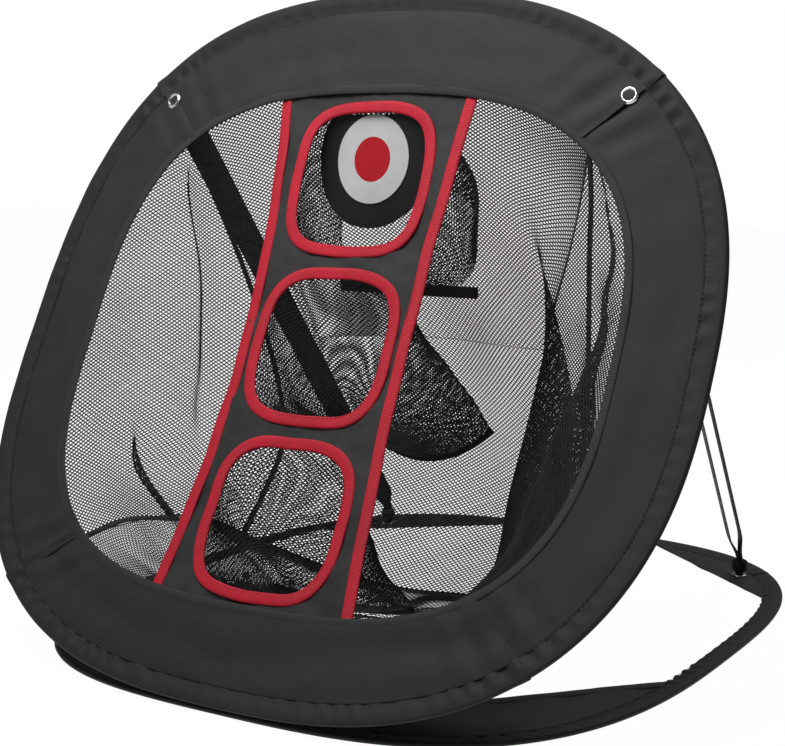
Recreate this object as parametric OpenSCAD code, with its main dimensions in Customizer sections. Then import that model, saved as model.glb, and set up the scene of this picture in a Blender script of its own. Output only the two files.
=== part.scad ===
// Golf chipping net: a bowed front panel with three target holes leans back from
// a base ring that lies on the ground. Both are fabric sleeves round a wire hoop.
// X runs across the panel, Y goes back from the front edge and Z is up.
// The origin is on the ground, under the middle of the front base sleeve.

/* [Front panel] */
// Width over the sleeves
panel_w = 644; // [580:1:720]
// Height up the slope, over the sleeves
panel_h = 594; // [540:1:660]
// Squareness of the outline, where 2 is an ellipse
panel_power = 2.6; // [2.3:0.1:3.2]
// Lean back from upright, in degrees
panel_lean = 25.5; // [18:0.5:32]
// How far the top of each side is drawn back
side_bow = 30; // [10:1:40]
// How far the panel is drawn back at half its height
height_bow = 22; // [8:1:30]
// Width of the side border
side_border_w = 76; // [60:1:90]
// Width of the top border
top_border_w = 86; // [70:1:100]
// Width of the bottom border
bottom_border_w = 80; // [66:1:90]
// Squareness of the window's outline
window_power = 2.9; // [2.5:0.1:3.3]
// Angle of the mitred corners and their eyelets round the panel
mitre_angle = 44.5; // [42:0.5:47]

/* [Sleeves and wire] */
// Width of a sleeve, from its fold to its stitches
sleeve_w = 18; // [14:0.5:22]
// Thickness of a sleeve over the wire
sleeve_t = 5; // [4.8:0.1:6]
// Thickness of one ply of the sleeve's fabric
ply_t = 0.8; // [0.6:0.05:0.9]
// Diameter of the spring wire
wire_d = 2.6; // [2:0.1:2.8]
// Gap between the wire and the fabric round it
wire_gap = 0.3; // [0.2:0.05:0.4]
// Length of the ferrule that joins a wire's ends
ferrule_len = 20; // [16:1:24]
// Wall of the ferrule
ferrule_wall = 0.3; // [0.2:0.05:0.35]

/* [Fabric and binding] */
// Thickness of the border's fabric
border_t = 1.2; // [0.8:0.1:1.6]
// Width of the binding round the window
window_binding_w = 6; // [4:0.5:9]
// Width of the red bindings
red_binding_w = 10; // [7:0.5:13]
// Thickness of a binding
binding_t = 2.2; // [1.8:0.1:2.8]

/* [Target strip] */
// Width at the top and bottom
strip_end_w = 190; // [170:1:210]
// Width at the waist
strip_waist_w = 160; // [150:1:168]
// Width and height of a hole inside its binding
hole_size = 114; // [100:1:118]
// Squareness of a hole's outline
hole_power = 3.6; // [3:0.1:5]
// Distance between the holes' centres
hole_pitch = 143; // [141:1:148]
// Gap from the window's top edge to the top hole's binding
hole_top_gap = 6; // [3:0.5:10]

/* [Bullseye] */
// Diameter of the black disc
disc_d = 114; // [100:1:116]
// Diameter of the white disc
ring_d = 73; // [60:1:84]
// Diameter of the red centre
centre_d = 37; // [28:1:46]
// Thickness of each disc
disc_t = 1; // [0.6:0.1:1.4]
// Gap from the binding's back to the disc's upper edge
disc_gap = 1; // [0.5:0.5:2]
// Distance from the disc's straight upper edge to its centre
disc_drop = 48; // [42:1:52]

/* [Pocket nets] */
// Thickness of all the nets
net_t = 1; // [0.8:0.1:1.4]
// How far each pocket's end lies behind its hole's centre
top_pocket_reach = 76; // [70:1:85]
middle_pocket_reach = 176; // [165:1:185]
bottom_pocket_reach = 150; // [140:1:165]
// How far each pocket's end lies below its hole's centre
top_pocket_drop = 89; // [80:1:92]
middle_pocket_drop = 110; // [100:1:116]
bottom_pocket_drop = 112; // [106:1:114]
// Height of the top pocket's end
top_pocket_end_h = 92; // [80:1:98]
// Height of the other pockets' ends
low_pocket_end_h = 14; // [10:1:18]
// How far outside a hole's edge its pocket is sewn
pocket_seam = 8; // [6:0.5:9]

/* [Net bag] */
// Reach of the bag's lower rear edge behind the hinge
bag_reach = 372; // [350:1:400]
// Width of that edge
bag_rear_w = 130; // [100:1:160]
// How far the rear net swells backwards
bag_swell = 46; // [30:1:60]
// How far the side nets fold inwards
bag_fold = 26; // [10:1:36]
// Height of the bag's rear edge over the ground
bag_rear_z = 7; // [6:0.5:12]

/* [Base ring] */
// Width over the sleeves
base_w = 562; // [520:1:600]
// Depth over the sleeves
base_d = 654; // [600:1:720]
// Squareness of the outline
base_power = 3; // [2.6:0.1:3.4]
// Thickness of a corner gusset
gusset_t = 1; // [0.8:0.1:1.4]
// Ends of the rear gussets round the ring, in degrees from the X axis
rear_gusset_from = 34; // [30:1:38]
rear_gusset_to = 75; // [70:1:78]
// Ends of the front gussets round the ring
front_gusset_from = -80; // [-82:1:-74]
front_gusset_to = -17; // [-22:1:-12]

/* [Eyelets and straps] */
// Outer diameter of an eyelet
eyelet_d = 15; // [13:0.5:17]
// Bore of an eyelet
eyelet_bore = 8; // [7:0.5:9]
// Thickness of an eyelet's metal
eyelet_wall = 0.5; // [0.4:0.05:0.6]
// Distance of an eyelet's centre inside the outline
eyelet_inset = 29; // [27.5:0.5:31]
// Width of the strap's webbing
strap_w = 27; // [20:1:32]
// Thickness of the webbing
strap_t = 1.2; // [0.8:0.1:1.6]
// Distance between a strap's two layers
strap_gap = 11; // [8:0.5:14]
// Turn of the straps' webbing about the upright
strap_turn = 48; // [40:1:55]

/* [Hidden] */

$fn = 48;
slack = 0.3;
fabric = [0.19, 0.19, 0.19];
sleeve_colour = [0.16, 0.16, 0.16];
net_colour = [0.10, 0.10, 0.11];
red = [0.75, 0.13, 0.19];
white = [0.90, 0.90, 0.89];
steel = [0.75, 0.76, 0.78];

base_corner = atan2(base_d, base_w);
window_w = panel_w - 2 * side_border_w;
window_h = panel_h - top_border_w - bottom_border_w;
window_v = bottom_border_w + window_h / 2;
wire_inset = ply_t + wire_gap + ferrule_wall + wire_d / 2;
hinge_y = -sleeve_w / 2;
hinge_z = sleeve_t + slack;
top_hole_v = window_v + window_h / 2 - hole_top_gap - red_binding_w - hole_size / 2;
middle_hole_v = top_hole_v - hole_pitch;
bottom_hole_v = middle_hole_v - hole_pitch;
binding_w_back = -border_t / 2 - slack;
strip_back = binding_w_back - binding_t / 2;
net_back = binding_w_back - binding_t - slack;
strip_lap = window_binding_w + 6;
cell_lap = 0.5;
seam_w = 2.5;
seam_gap = 0.35;
ferrule_fit = 0.16;
eyelet_grip = border_t + slack;
hollow_r = wire_d / 2 + ferrule_wall + wire_gap + ferrule_fit;
gusset_z = sleeve_t / 2 - gusset_t / 2;
hitch_len = 26;

// Outlines. A point of a squared oval at an angle from its centre, drawn in by s.
function oval(angle, a, b, power) =
  let (r = pow(pow(abs(cos(angle)) / a, power) + pow(abs(sin(angle)) / b, power), -1 / power))
  [r * cos(angle), r * sin(angle)];
function inward(p, a, b, power) =
  let (g = [sign(p[0]) * pow(abs(p[0]) / a, power - 1) / a,
            sign(p[1]) * pow(abs(p[1]) / b, power - 1) / b])
  -g / norm(g);
function ring_point(angle, w, h, power, s) =
  let (p = oval(angle, w / 2, h / 2, power))
  p + s * inward(p, w / 2, h / 2, power);
function base_point(angle, s) =
  ring_point(angle, base_w, base_d, base_power, s) + [0, base_d / 2 + hinge_y];
function panel_point(angle, s) =
  ring_point(angle, panel_w, panel_h, panel_power, s) + [0, panel_h / 2];
function window_point(angle, s) =
  ring_point(angle, window_w, window_h, window_power, s) + [0, window_v];
function hole_point(angle, v, s) = ring_point(angle, hole_size, hole_size, hole_power, s) + [0, v];

// The panel's bowed middle surface: u across, v up the slope and w forward of it
function bow(u, v) =
  side_bow * v / panel_h * pow(2 * u / panel_w, 2) + 4 * height_bow * v / panel_h * (1 - v / panel_h);
function on_panel(u, v, w) =
  let (back = bow(u, v) - w - sleeve_t / 2)
  [u, hinge_y + v * sin(panel_lean) + back * cos(panel_lean),
   hinge_z + v * cos(panel_lean) - back * sin(panel_lean)];
function lifted(p, w) = on_panel(p[0], p[1], w);
function mix(a, b, f) = a + (b - a) * f;
function steps(from, to, count) = [for (i = [0 : count]) from + (to - from) * i / count];
// Angles all round the panel, in as many steps between each two mitred corners
function round_steps(c, count) =
  [for (q = [[-c, c], [c, 180 - c], [180 - c, 180 + c], [180 + c, 360 - c]], i = [0 : count - 1])
    q[0] + (q[1] - q[0]) * i / count];
function unit(p) = p / norm(p);

// Half the strip's width at a height up the panel
function strip_half(v) =
  let (f = (v - window_v) / (window_h / 2))
  mix(strip_waist_w, strip_end_w, min(1, f * f)) / 2;

// Skins: closed solids through rings of points
function skin_sides(rings, m, start, closed, flip) =
  [for (i = [0 : rings - (closed ? 1 : 2)], j = [0 : m - 1])
    let (a = start + i * m + j, b = start + i * m + (j + 1) % m,
         c = start + ((i + 1) % rings) * m + (j + 1) % m, d = start + ((i + 1) % rings) * m + j)
    each flip ? [[a, c, b], [a, d, c]] : [[a, b, c], [a, c, d]]];
function cap(start, m, flip) =
  [for (j = [0 : m / 2 - 2])
    let (a = start + j, b = start + j + 1, c = start + m - 2 - j, d = start + m - 1 - j)
    each flip ? [[a, c, b], [a, d, c]] : [[a, b, c], [a, c, d]]];

module skin(rings, closed = false) {
  n = len(rings);
  m = len(rings[0]);
  sides = skin_sides(n, m, 0, closed, false);
  ends = closed ? [] : concat(cap(0, m, true), cap((n - 1) * m, m, false));
  polyhedron([for (r = rings) each r], concat(sides, ends), convexity = 10);
}

// A skin with a hollow along it: an outer and an inner ring of as many points
module hollow_skin(outer, inner) {
  n = len(outer);
  m = len(outer[0]);
  k = n * m;
  ends = [for (j = [0 : m - 1], last = [0, 1])
    let (a = last * (n - 1) * m + j, b = last * (n - 1) * m + (j + 1) % m)
    each last == 0
      ? [[a, k + b, b], [a, k + a, k + b]]
      : [[a, b, k + b], [a, k + b, k + a]]];
  polyhedron(
    [for (r = concat(outer, inner)) each r],
    concat(skin_sides(n, m, 0, false, false), skin_sides(n, m, k, false, true), ends),
    convexity = 10
  );
}

// A flat ply on the panel: rows of [u, v] points, from w0 back to w1 forward
module panel_ply(rows, w0, w1, closed = false) {
  skin([for (row = rows) concat(
    [for (p = row) lifted(p, w0)],
    [for (i = [len(row) - 1 : -1 : 0]) lifted(row[i], w1)]
  )], closed);
}

// A thin sheet through rows of points in space, grown by t along the direction given
module sheet(rows, grow) {
  skin([for (row = rows) concat(row, [for (i = [len(row) - 1 : -1 : 0]) row[i] + grow])]);
}

// A flat ply of the base between two insets of its outline
module base_ply(from, to, s0, s1, z0, z1) {
  outer = [for (a = steps(from, to, 24)) base_point(a, s0)];
  inner = [for (a = steps(to, from, 24)) base_point(a, s1)];
  translate([0, 0, z0]) linear_extrude(z1 - z0) polygon(concat(outer, inner));
}

// Base ring

module base_sleeve(from, to) {
  color(sleeve_colour) {
    base_ply(from, to, 0, sleeve_w, 0, ply_t);
    base_ply(from, to, 0, sleeve_w, sleeve_t - ply_t, sleeve_t);
    base_ply(from, to, 0, ply_t, 0, sleeve_t);
    base_ply(from, to, sleeve_w - seam_w, sleeve_w, 0, sleeve_t);
  }
}

module front_base_sleeve() base_sleeve(-180 + base_corner, -base_corner);
module rear_base_sleeve() base_sleeve(base_corner, 180 - base_corner);
module left_base_sleeve() base_sleeve(180 - base_corner, 180 + base_corner);
module right_base_sleeve() base_sleeve(-base_corner, base_corner);

// Section of a round wire about a point, from the in-plane and upright directions
function wire_ring(centre, side, up, r) =
  [for (k = [5 : -1 : 0]) centre + r * (cos(60 * k) * side + sin(60 * k) * up)];

module base_wire() {
  color(steel) skin([for (a = steps(2.5, 357.5, 71))
    let (p = base_point(a, wire_inset), q = base_point(a, wire_inset + 1))
    wire_ring([p[0], p[1], sleeve_t / 2], [q[0] - p[0], q[1] - p[1], 0], [0, 0, 1], wire_d / 2)
  ], closed = true);
}

module ferrule() {
  rotate([0, 90, 0]) difference() {
    cylinder(h = ferrule_len, d = wire_d + ferrule_fit + 2 * ferrule_wall, center = true);
    cylinder(h = ferrule_len + 2, d = wire_d + ferrule_fit, center = true);
  }
}

// The ferrule lies on the left side of the ring, where the hoop is nearly straight
module base_ferrule() {
  p = base_point(180, wire_inset);
  color(steel) translate([p[0], p[1], sleeve_t / 2]) rotate([0, 0, 90]) ferrule();
}

module gusset(from, to, eyelet) {
  color(fabric) translate([0, 0, gusset_z]) difference() {
    linear_extrude(gusset_t) polygon([for (a = steps(from, to, 24)) base_point(a, sleeve_w + seam_gap)]);
    if (eyelet) {
      p = base_point(base_corner, eyelet_inset);
      translate([p[0], p[1], -1]) cylinder(h = gusset_t + 2, d = eyelet_bore + 2 * eyelet_wall + seam_gap);
    }
  }
}

module rear_right_gusset() gusset(rear_gusset_from, rear_gusset_to, true);
module rear_left_gusset() mirror([1, 0, 0]) rear_right_gusset();
module front_right_gusset() gusset(front_gusset_from, front_gusset_to, false);
module front_left_gusset() mirror([1, 0, 0]) front_right_gusset();

// A rolled eyelet about the origin, clamping fabric of thickness grip
module eyelet(grip) {
  r0 = eyelet_bore / 2;
  rim = eyelet_d / 2;
  top = grip / 2 + eyelet_wall;
  rotate_extrude() polygon([
    [r0, -top], [rim, -top], [rim, -grip / 2], [r0 + eyelet_wall, -grip / 2],
    [r0 + eyelet_wall, grip / 2], [rim, grip / 2], [rim - eyelet_wall, top], [r0, top]
  ]);
}

module rear_right_eyelet() {
  p = base_point(base_corner, eyelet_inset);
  color(steel) translate([p[0], p[1], sleeve_t / 2]) eyelet(gusset_t);
}

module rear_left_eyelet() mirror([1, 0, 0]) rear_right_eyelet();

// The tape under the sewn hinge, folded over the front sleeve's top
module hinge_tape() {
  color(fabric) translate([0, 0, sleeve_t]) linear_extrude(slack * 0.6)
    polygon(concat(
      [for (a = steps(-112, -68, 16)) base_point(a, 2)],
      [for (a = steps(-68, -112, 16)) base_point(a, sleeve_w - 2)]
    ));
}

// Front panel

// Section of a sleeve: distance inside the outline and forward of the middle
function sleeve_section(t) = [
  [0, t * 0.28], [wire_inset * 0.5, t / 2], [wire_inset * 1.8, t / 2],
  [sleeve_w * 0.6, t * 0.22], [sleeve_w, border_t / 2],
  [sleeve_w, -border_t / 2], [sleeve_w * 0.6, -t * 0.22],
  [wire_inset * 1.8, -t / 2], [wire_inset * 0.5, -t / 2], [0, -t * 0.28]
];
function hollow_section(r) =
  [for (k = [0 : 9]) [wire_inset - r * cos(36 * k), r * sin(36 * k)]];
function section_ring(angle, section) =
  [for (p = section) lifted(panel_point(angle, p[0]), p[1])];

module panel_sleeve(from, to) {
  angles = steps(from, to, 20);
  color(sleeve_colour) hollow_skin(
    [for (a = angles) section_ring(a, sleeve_section(sleeve_t))],
    [for (a = angles) section_ring(a, hollow_section(hollow_r))]
  );
}

module top_sleeve() panel_sleeve(mitre_angle, 180 - mitre_angle);
module bottom_sleeve() panel_sleeve(-180 + mitre_angle, -mitre_angle);
module left_sleeve() panel_sleeve(180 - mitre_angle, 180 + mitre_angle);
module right_sleeve() panel_sleeve(-mitre_angle, mitre_angle);

module panel_wire() {
  color(steel) skin([for (a = steps(2.5, 357.5, 71))
    let (p = panel_point(a, wire_inset), q = panel_point(a, wire_inset + 1),
         c = lifted(p, 0), side = unit(lifted(q, 0) - c), up = unit(lifted(p, 1) - c))
    wire_ring(c, side, up, wire_d / 2)
  ], closed = true);
}

module panel_ferrule() {
  p = panel_point(-90, wire_inset);
  color(steel) translate(lifted(p, 0)) rotate([90 - panel_lean, 0, 0]) rotate([90, 0, 0]) ferrule();
}

// Places things square to the bowed panel, at a point of it
module square_to_panel(p) {
  across = unit(on_panel(p[0] + 1, p[1], 0) - on_panel(p[0] - 1, p[1], 0));
  out = unit(cross(across, on_panel(p[0], p[1] + 1, 0) - on_panel(p[0], p[1] - 1, 0)));
  up = cross(out, across);
  at = lifted(p, 0);
  multmatrix([for (k = [0 : 2]) [across[k], up[k], out[k], at[k]]]) children();
}

module border(from, to) {
  color(fabric) difference() {
    panel_ply([for (a = steps(from, to, 20))
      let (outer = panel_point(a, sleeve_w), inner = window_point(a, -window_binding_w))
      [inner, mix(inner, outer, 0.5), outer]
    ], -border_t / 2, border_t / 2);
    for (side = [mitre_angle, 180 - mitre_angle])
      square_to_panel(panel_point(side, eyelet_inset))
        cylinder(h = 40, d = eyelet_bore + 2 * eyelet_wall + seam_gap, center = true);
  }
}

module top_border() border(mitre_angle, 180 - mitre_angle);
module bottom_border() border(-180 + mitre_angle, -mitre_angle);
module left_border() border(180 - mitre_angle, 180 + mitre_angle);
module right_border() border(-mitre_angle, mitre_angle);

module window_binding() {
  color(sleeve_colour) panel_ply([for (a = round_steps(mitre_angle, 20))
    [window_point(a, 0), window_point(a, -window_binding_w)]
  ], -border_t / 2, border_t / 2, closed = true);
}

module top_right_eyelet() {
  color(steel) square_to_panel(panel_point(mitre_angle, eyelet_inset)) eyelet(eyelet_grip);
}

module top_left_eyelet() mirror([1, 0, 0]) top_right_eyelet();

// Target strip

// Height of the window's edge over a distance across, on its upper or lower side
function window_edge(u, side) =
  window_v + side * window_h / 2 *
    pow(1 - pow(min(1, abs(2 * u / window_w)), window_power), 1 / window_power);
function strip_top(u) = window_edge(u, 1) + strip_lap;
function strip_foot(u) = window_edge(u, -1) - strip_lap;

// A point round a cell's edge, with its corners at whole quarters of the way
function cell_edge(f, low, high) =
  let (k = floor(f * 4), g = f * 4 - k)
  k == 0 ? [cell_half(mix(low, high, g)), mix(low, high, g)]
  : k == 1 ? [cell_half(high) * (1 - 2 * g), high]
  : k == 2 ? [-cell_half(mix(high, low, g)), mix(high, low, g)]
  : [cell_half(low) * (2 * g - 1), low];
function cell_half(v) = strip_half(v) - red_binding_w - seam_gap;

// The fabric round one hole, between two heights
module strip_cell(v, low, high) {
  panel_ply([for (i = [0 : 39])
    let (edge = cell_edge(i / 40, low, high),
         q = edge[1] == high && high > top_hole_v ? [edge[0], min(high, strip_top(edge[0]))]
           : edge[1] == low && low < bottom_hole_v ? [edge[0], max(low, strip_foot(edge[0]))] : edge,
         angle = atan2(edge[1] - v, edge[0]), inner = hole_point(angle, v, -red_binding_w - seam_gap))
    [inner, mix(inner, q, 0.5), q]
  ], strip_back - border_t / 2, strip_back + border_t / 2, closed = true);
}

module target_strip() {
  upper = (top_hole_v + middle_hole_v) / 2;
  lower = (middle_hole_v + bottom_hole_v) / 2;
  color(fabric) {
    strip_cell(top_hole_v, upper - cell_lap, strip_top(0));
    strip_cell(middle_hole_v, lower - cell_lap, upper + cell_lap);
    strip_cell(bottom_hole_v, strip_foot(0), lower + cell_lap);
  }
}

module right_strip_binding() {
  top = strip_top(strip_end_w / 2);
  foot = strip_foot(strip_end_w / 2);
  color(red) panel_ply([for (v = steps(foot, top, 24))
    [[strip_half(v) - red_binding_w, v], [strip_half(v), v]]
  ], binding_w_back - binding_t, binding_w_back);
}

module left_strip_binding() mirror([1, 0, 0]) right_strip_binding();

module hole_binding(v) {
  color(red) panel_ply([for (a = steps(0, 352, 44))
    [hole_point(a, v, 0), hole_point(a, v, -red_binding_w)]
  ], binding_w_back - binding_t, binding_w_back, closed = true);
}

module top_hole_binding() hole_binding(top_hole_v);
module middle_hole_binding() hole_binding(middle_hole_v);
module bottom_hole_binding() hole_binding(bottom_hole_v);

// Bullseye: discs that hang upright and swing from behind the top hole's upper edge
module hung(forward) {
  translate(on_panel(0, top_hole_v + hole_size / 2 + 5, net_back - disc_gap))
    rotate([90, 0, 0]) translate([0, -disc_drop, forward]) children();
}

// The black disc is cut straight where it is sewn behind the binding
module target_disc() {
  color(net_colour) hung(0) difference() {
    cylinder(h = disc_t, d = disc_d);
    translate([-disc_d, disc_drop, -1]) cube([2 * disc_d, disc_d, disc_t + 2]);
  }
}

module target_ring() {
  color(white) hung(disc_t) difference() {
    cylinder(h = disc_t, d = ring_d);
    translate([0, 0, -1]) cylinder(h = disc_t + 2, d = centre_d);
  }
}

module target_centre() {
  color(red) hung(disc_t) cylinder(h = disc_t, d = centre_d);
}

// Pocket nets

// A ring of the pocket's wall: its rim at f = 0 and its far end at f = 1
function pocket_ring(v, f, reach, drop, end_h, s) =
  [for (a = steps(0, 345, 23))
    let (rim = hole_point(a, v, -s), middle = on_panel(0, v, net_back),
         far = [rim[0], middle[1] + reach,
                middle[2] - drop + (end_h / 2 + s - pocket_seam) * (rim[1] - v) / (hole_size / 2 + s)])
    mix(lifted(rim, net_back), far, f)];

// The pocket is a thin sleeve of net, closed by a flat end
module pocket(v, reach, drop, end_h) {
  outer = [for (f = steps(0, 1, 4)) pocket_ring(v, f, reach, drop, end_h, pocket_seam + net_t)];
  inner = [for (f = steps(0, 1, 4)) pocket_ring(v, f, reach, drop, end_h, pocket_seam)];
  color(net_colour) {
    hollow_skin(outer, inner);
    skin([outer[4], [for (p = outer[4]) p + [0, net_t, 0]]]);
  }
}

module top_pocket() pocket(top_hole_v, top_pocket_reach, top_pocket_drop, top_pocket_end_h);
module middle_pocket() pocket(middle_hole_v, middle_pocket_reach, middle_pocket_drop, low_pocket_end_h);
module bottom_pocket() pocket(bottom_hole_v, bottom_pocket_reach, bottom_pocket_drop, low_pocket_end_h);

// Net bag, sewn round the window and gathered to a lower rear edge

function window_rim(angle) = lifted(window_point(angle, -1), net_back);
function bag_rear(f) = [mix(-bag_rear_w, bag_rear_w, f) / 2, hinge_y + bag_reach, bag_rear_z];
// The side seam runs from the window's top corner to the end of the rear edge
function bag_seam(f) =
  mix(window_rim(mitre_angle), bag_rear(1), f) + [0, bag_swell * sin(180 * f), 0];
// The floor net drops steeply from the window's lower edge, then lies along the ground
function bag_floor(f, g) =
  let (rim = window_rim(mix(180 + mitre_angle, 360 - mitre_angle, g)), rear = bag_rear(g),
       low = mix(rim, rear, f))
  [low[0], low[1], rear[2] + (rim[2] - rear[2]) * pow(1 - f, 4)];
function mirrored(p) = [-p[0], p[1], p[2]];

module bag_right_net() {
  color(net_colour) sheet([for (f = steps(1, 0, 12))
    let (rim = window_rim(mix(mitre_angle, -mitre_angle, f)), seam = bag_seam(f))
    [for (g = steps(0, 1, 10))
      let (lift = bag_floor(g, 1) - mix(window_rim(-mitre_angle), bag_seam(1), g))
      mix(rim, seam, g) + lift * pow(f, 3) - [bag_fold * sin(180 * g) * sin(180 * f), 0, 0]]
  ], [net_t, 0, 0]);
}

module bag_left_net() mirror([1, 0, 0]) bag_right_net();

module bag_rear_net() {
  color(net_colour) sheet([for (f = steps(0, 1, 14))
    let (right = bag_seam(f), left = mirrored(right))
    [for (g = steps(0, 1, 16))
      let (top = window_rim(mix(180 - mitre_angle, mitre_angle, g)),
           chord = mix(mirrored(bag_seam(0)), bag_seam(0), g))
      mix(left, right, g) + (top - chord) * (1 - f) * (1 - f)
        + [0, bag_swell * 0.5 * sin(180 * g) * sin(180 * f) + net_t, 0]]
  ], [0, net_t, 0]);
}

module bag_floor_net() {
  color(net_colour) sheet([for (f = steps(0, 1, 10))
    [for (g = steps(0, 1, 12)) bag_floor(f, g) - [0, 0, net_t]]
  ], [0, 0, net_t]);
}

module bag_hem() {
  color(sleeve_colour) translate([0, hinge_y + bag_reach + net_t, bag_rear_z - 3.5])
    rotate([0, 90, 0]) cylinder(h = bag_rear_w, r = 2, center = true);
}

// Straps: doubled webbing from each upper eyelet down to a rear one

strap_top = lifted(panel_point(mitre_angle, eyelet_inset), net_back - 3);
strap_foot_xy = base_point(base_corner, eyelet_inset);
strap_foot = [strap_foot_xy[0], strap_foot_xy[1], sleeve_t / 2 + gusset_t / 2 + eyelet_wall + slack];

// A ring of the webbing: up one layer, over the fold at the top and down the other
function strap_ring(f, turn) =
  let (across = [-cos(strap_turn), sin(strap_turn), 0],
       foot = strap_foot + [0, 0, hitch_len * 0.6], along = unit(strap_top - foot),
       off = unit(cross(across, along)), spread = min(1, f * 8), half = mix(5, strap_w / 2, spread),
       reach = mix(strap_t * 0.75, strap_gap / 2, spread), out = sin(turn) * off + cos(turn) * along,
       centre = mix(foot, strap_top, f) + out * reach)
  [centre - across * half + out * strap_t / 2, centre + across * half + out * strap_t / 2,
   centre + across * half - out * strap_t / 2, centre - across * half - out * strap_t / 2];

module right_strap() {
  color(net_colour) skin(concat(
    [for (f = steps(0, 0.97, 12)) strap_ring(f, -90)],
    [for (turn = steps(-60, 60, 4)) strap_ring(0.97, turn)],
    [for (f = steps(0.97, 0, 12)) strap_ring(f, 90)]
  ));
}

module left_strap() mirror([1, 0, 0]) right_strap();

// The webbing's gathered end, drawn through the eyelet and knotted over it
module right_strap_hitch() {
  color(net_colour) translate(strap_foot) {
    cylinder(h = hitch_len * 0.6 - 1.5, r1 = 4.5, r2 = 7);
    translate([0, 0, -gusset_t - 2 * eyelet_wall]) cylinder(h = 3, r = eyelet_bore / 2 - slack);
  }
}

module left_strap_hitch() mirror([1, 0, 0]) right_strap_hitch();

base_wire();
base_ferrule();
front_base_sleeve();
rear_base_sleeve();
left_base_sleeve();
right_base_sleeve();
rear_left_gusset();
rear_right_gusset();
front_left_gusset();
front_right_gusset();
rear_left_eyelet();
rear_right_eyelet();
hinge_tape();
panel_wire();
panel_ferrule();
top_sleeve();
bottom_sleeve();
left_sleeve();
right_sleeve();
top_border();
bottom_border();
left_border();
right_border();
window_binding();
target_strip();
left_strip_binding();
right_strip_binding();
top_hole_binding();
middle_hole_binding();
bottom_hole_binding();
target_disc();
target_ring();
target_centre();
top_left_eyelet();
top_right_eyelet();
top_pocket();
middle_pocket();
bottom_pocket();
bag_left_net();
bag_right_net();
bag_rear_net();
bag_floor_net();
bag_hem();
left_strap();
right_strap();
left_strap_hitch();
right_strap_hitch();
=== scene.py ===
# Golf chipping net: sewn cloth, nets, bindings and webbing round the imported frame.
# Lengths are in metres. X runs across the net, Y goes back from it and Z is up.
import math
import bpy
import numpy as np
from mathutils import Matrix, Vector


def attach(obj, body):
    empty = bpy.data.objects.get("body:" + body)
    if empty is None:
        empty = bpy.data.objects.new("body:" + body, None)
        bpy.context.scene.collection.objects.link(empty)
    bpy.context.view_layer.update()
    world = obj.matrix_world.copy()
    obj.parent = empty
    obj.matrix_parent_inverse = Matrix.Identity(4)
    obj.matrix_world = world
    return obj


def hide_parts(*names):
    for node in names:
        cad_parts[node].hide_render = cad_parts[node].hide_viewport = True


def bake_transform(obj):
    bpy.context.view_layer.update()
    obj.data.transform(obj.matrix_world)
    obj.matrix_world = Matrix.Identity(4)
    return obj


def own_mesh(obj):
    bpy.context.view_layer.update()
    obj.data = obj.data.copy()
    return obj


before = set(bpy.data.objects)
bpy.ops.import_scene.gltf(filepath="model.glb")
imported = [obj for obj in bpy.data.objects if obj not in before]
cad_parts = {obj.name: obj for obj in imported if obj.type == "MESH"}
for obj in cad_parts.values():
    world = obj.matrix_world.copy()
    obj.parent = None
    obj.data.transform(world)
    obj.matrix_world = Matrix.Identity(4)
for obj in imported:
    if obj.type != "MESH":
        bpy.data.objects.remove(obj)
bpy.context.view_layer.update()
print("frame loaded")

# Camera
cameraPlace = {"at": (0.7246, -0.9228, 0.4310), "azimuth": 31.847, "pitch": 8.52, "lens": 74.587}
cameraData = bpy.data.cameras.new("camera")
cameraData.lens = cameraPlace["lens"]
cameraData.clip_end = 50
camera = bpy.data.objects.new("camera", cameraData)
camera.location = cameraPlace["at"]
camera.rotation_euler = (math.radians(90 - cameraPlace["pitch"]), 0, math.radians(cameraPlace["azimuth"]))
bpy.context.scene.collection.objects.link(camera)
bpy.context.scene.camera = camera

# The frame's own measures
panel = {"width": 0.644, "height": 0.594, "power": 2.6, "lean": math.radians(25.5),
         "sideBow": 0.030, "heightBow": 0.022, "middle": 0.0025,
         "hingeY": -0.009, "hingeZ": 0.0053, "mitre": 44.5}
window = {"width": 0.492, "height": 0.428, "power": 2.9, "middle": 0.294}
hole = {"size": 0.114, "power": 3.6, "heights": {"top": 0.435, "middle": 0.292, "bottom": 0.149}}
base = {"width": 0.562, "depth": 0.654, "power": 3.0}
backOf = {"binding": -0.0009, "strip": -0.0020, "net": -0.0034}
handed = {"right": 1, "left": -1}
lean = panel["lean"]


def oval(angle, width, height, power, inset=0.0):
    turn = np.radians(np.asarray(angle, float))
    a, b = width / 2, height / 2
    c, s = np.cos(turn), np.sin(turn)
    r = (np.abs(c / a) ** power + np.abs(s / b) ** power) ** (-1 / power)
    x, y = r * c, r * s
    gx = np.sign(x) * (np.abs(x) / a) ** (power - 1) / a
    gy = np.sign(y) * (np.abs(y) / b) ** (power - 1) / b
    size = np.hypot(gx, gy)
    return np.stack([x - inset * gx / size, y - inset * gy / size], -1)


def panelPoint(angle, inset=0.0):
    return oval(angle, panel["width"], panel["height"], panel["power"], inset) + [0, panel["height"] / 2]


def windowPoint(angle, inset=0.0):
    return oval(angle, window["width"], window["height"], window["power"], inset) + [0, window["middle"]]


def holePoint(angle, height, inset=0.0):
    return oval(angle, hole["size"], hole["size"], hole["power"], inset) + [0, height]


def basePoint(angle, inset=0.0):
    return oval(angle, base["width"], base["depth"], base["power"], inset) + [0, base["depth"] / 2 + panel["hingeY"]]


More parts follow.
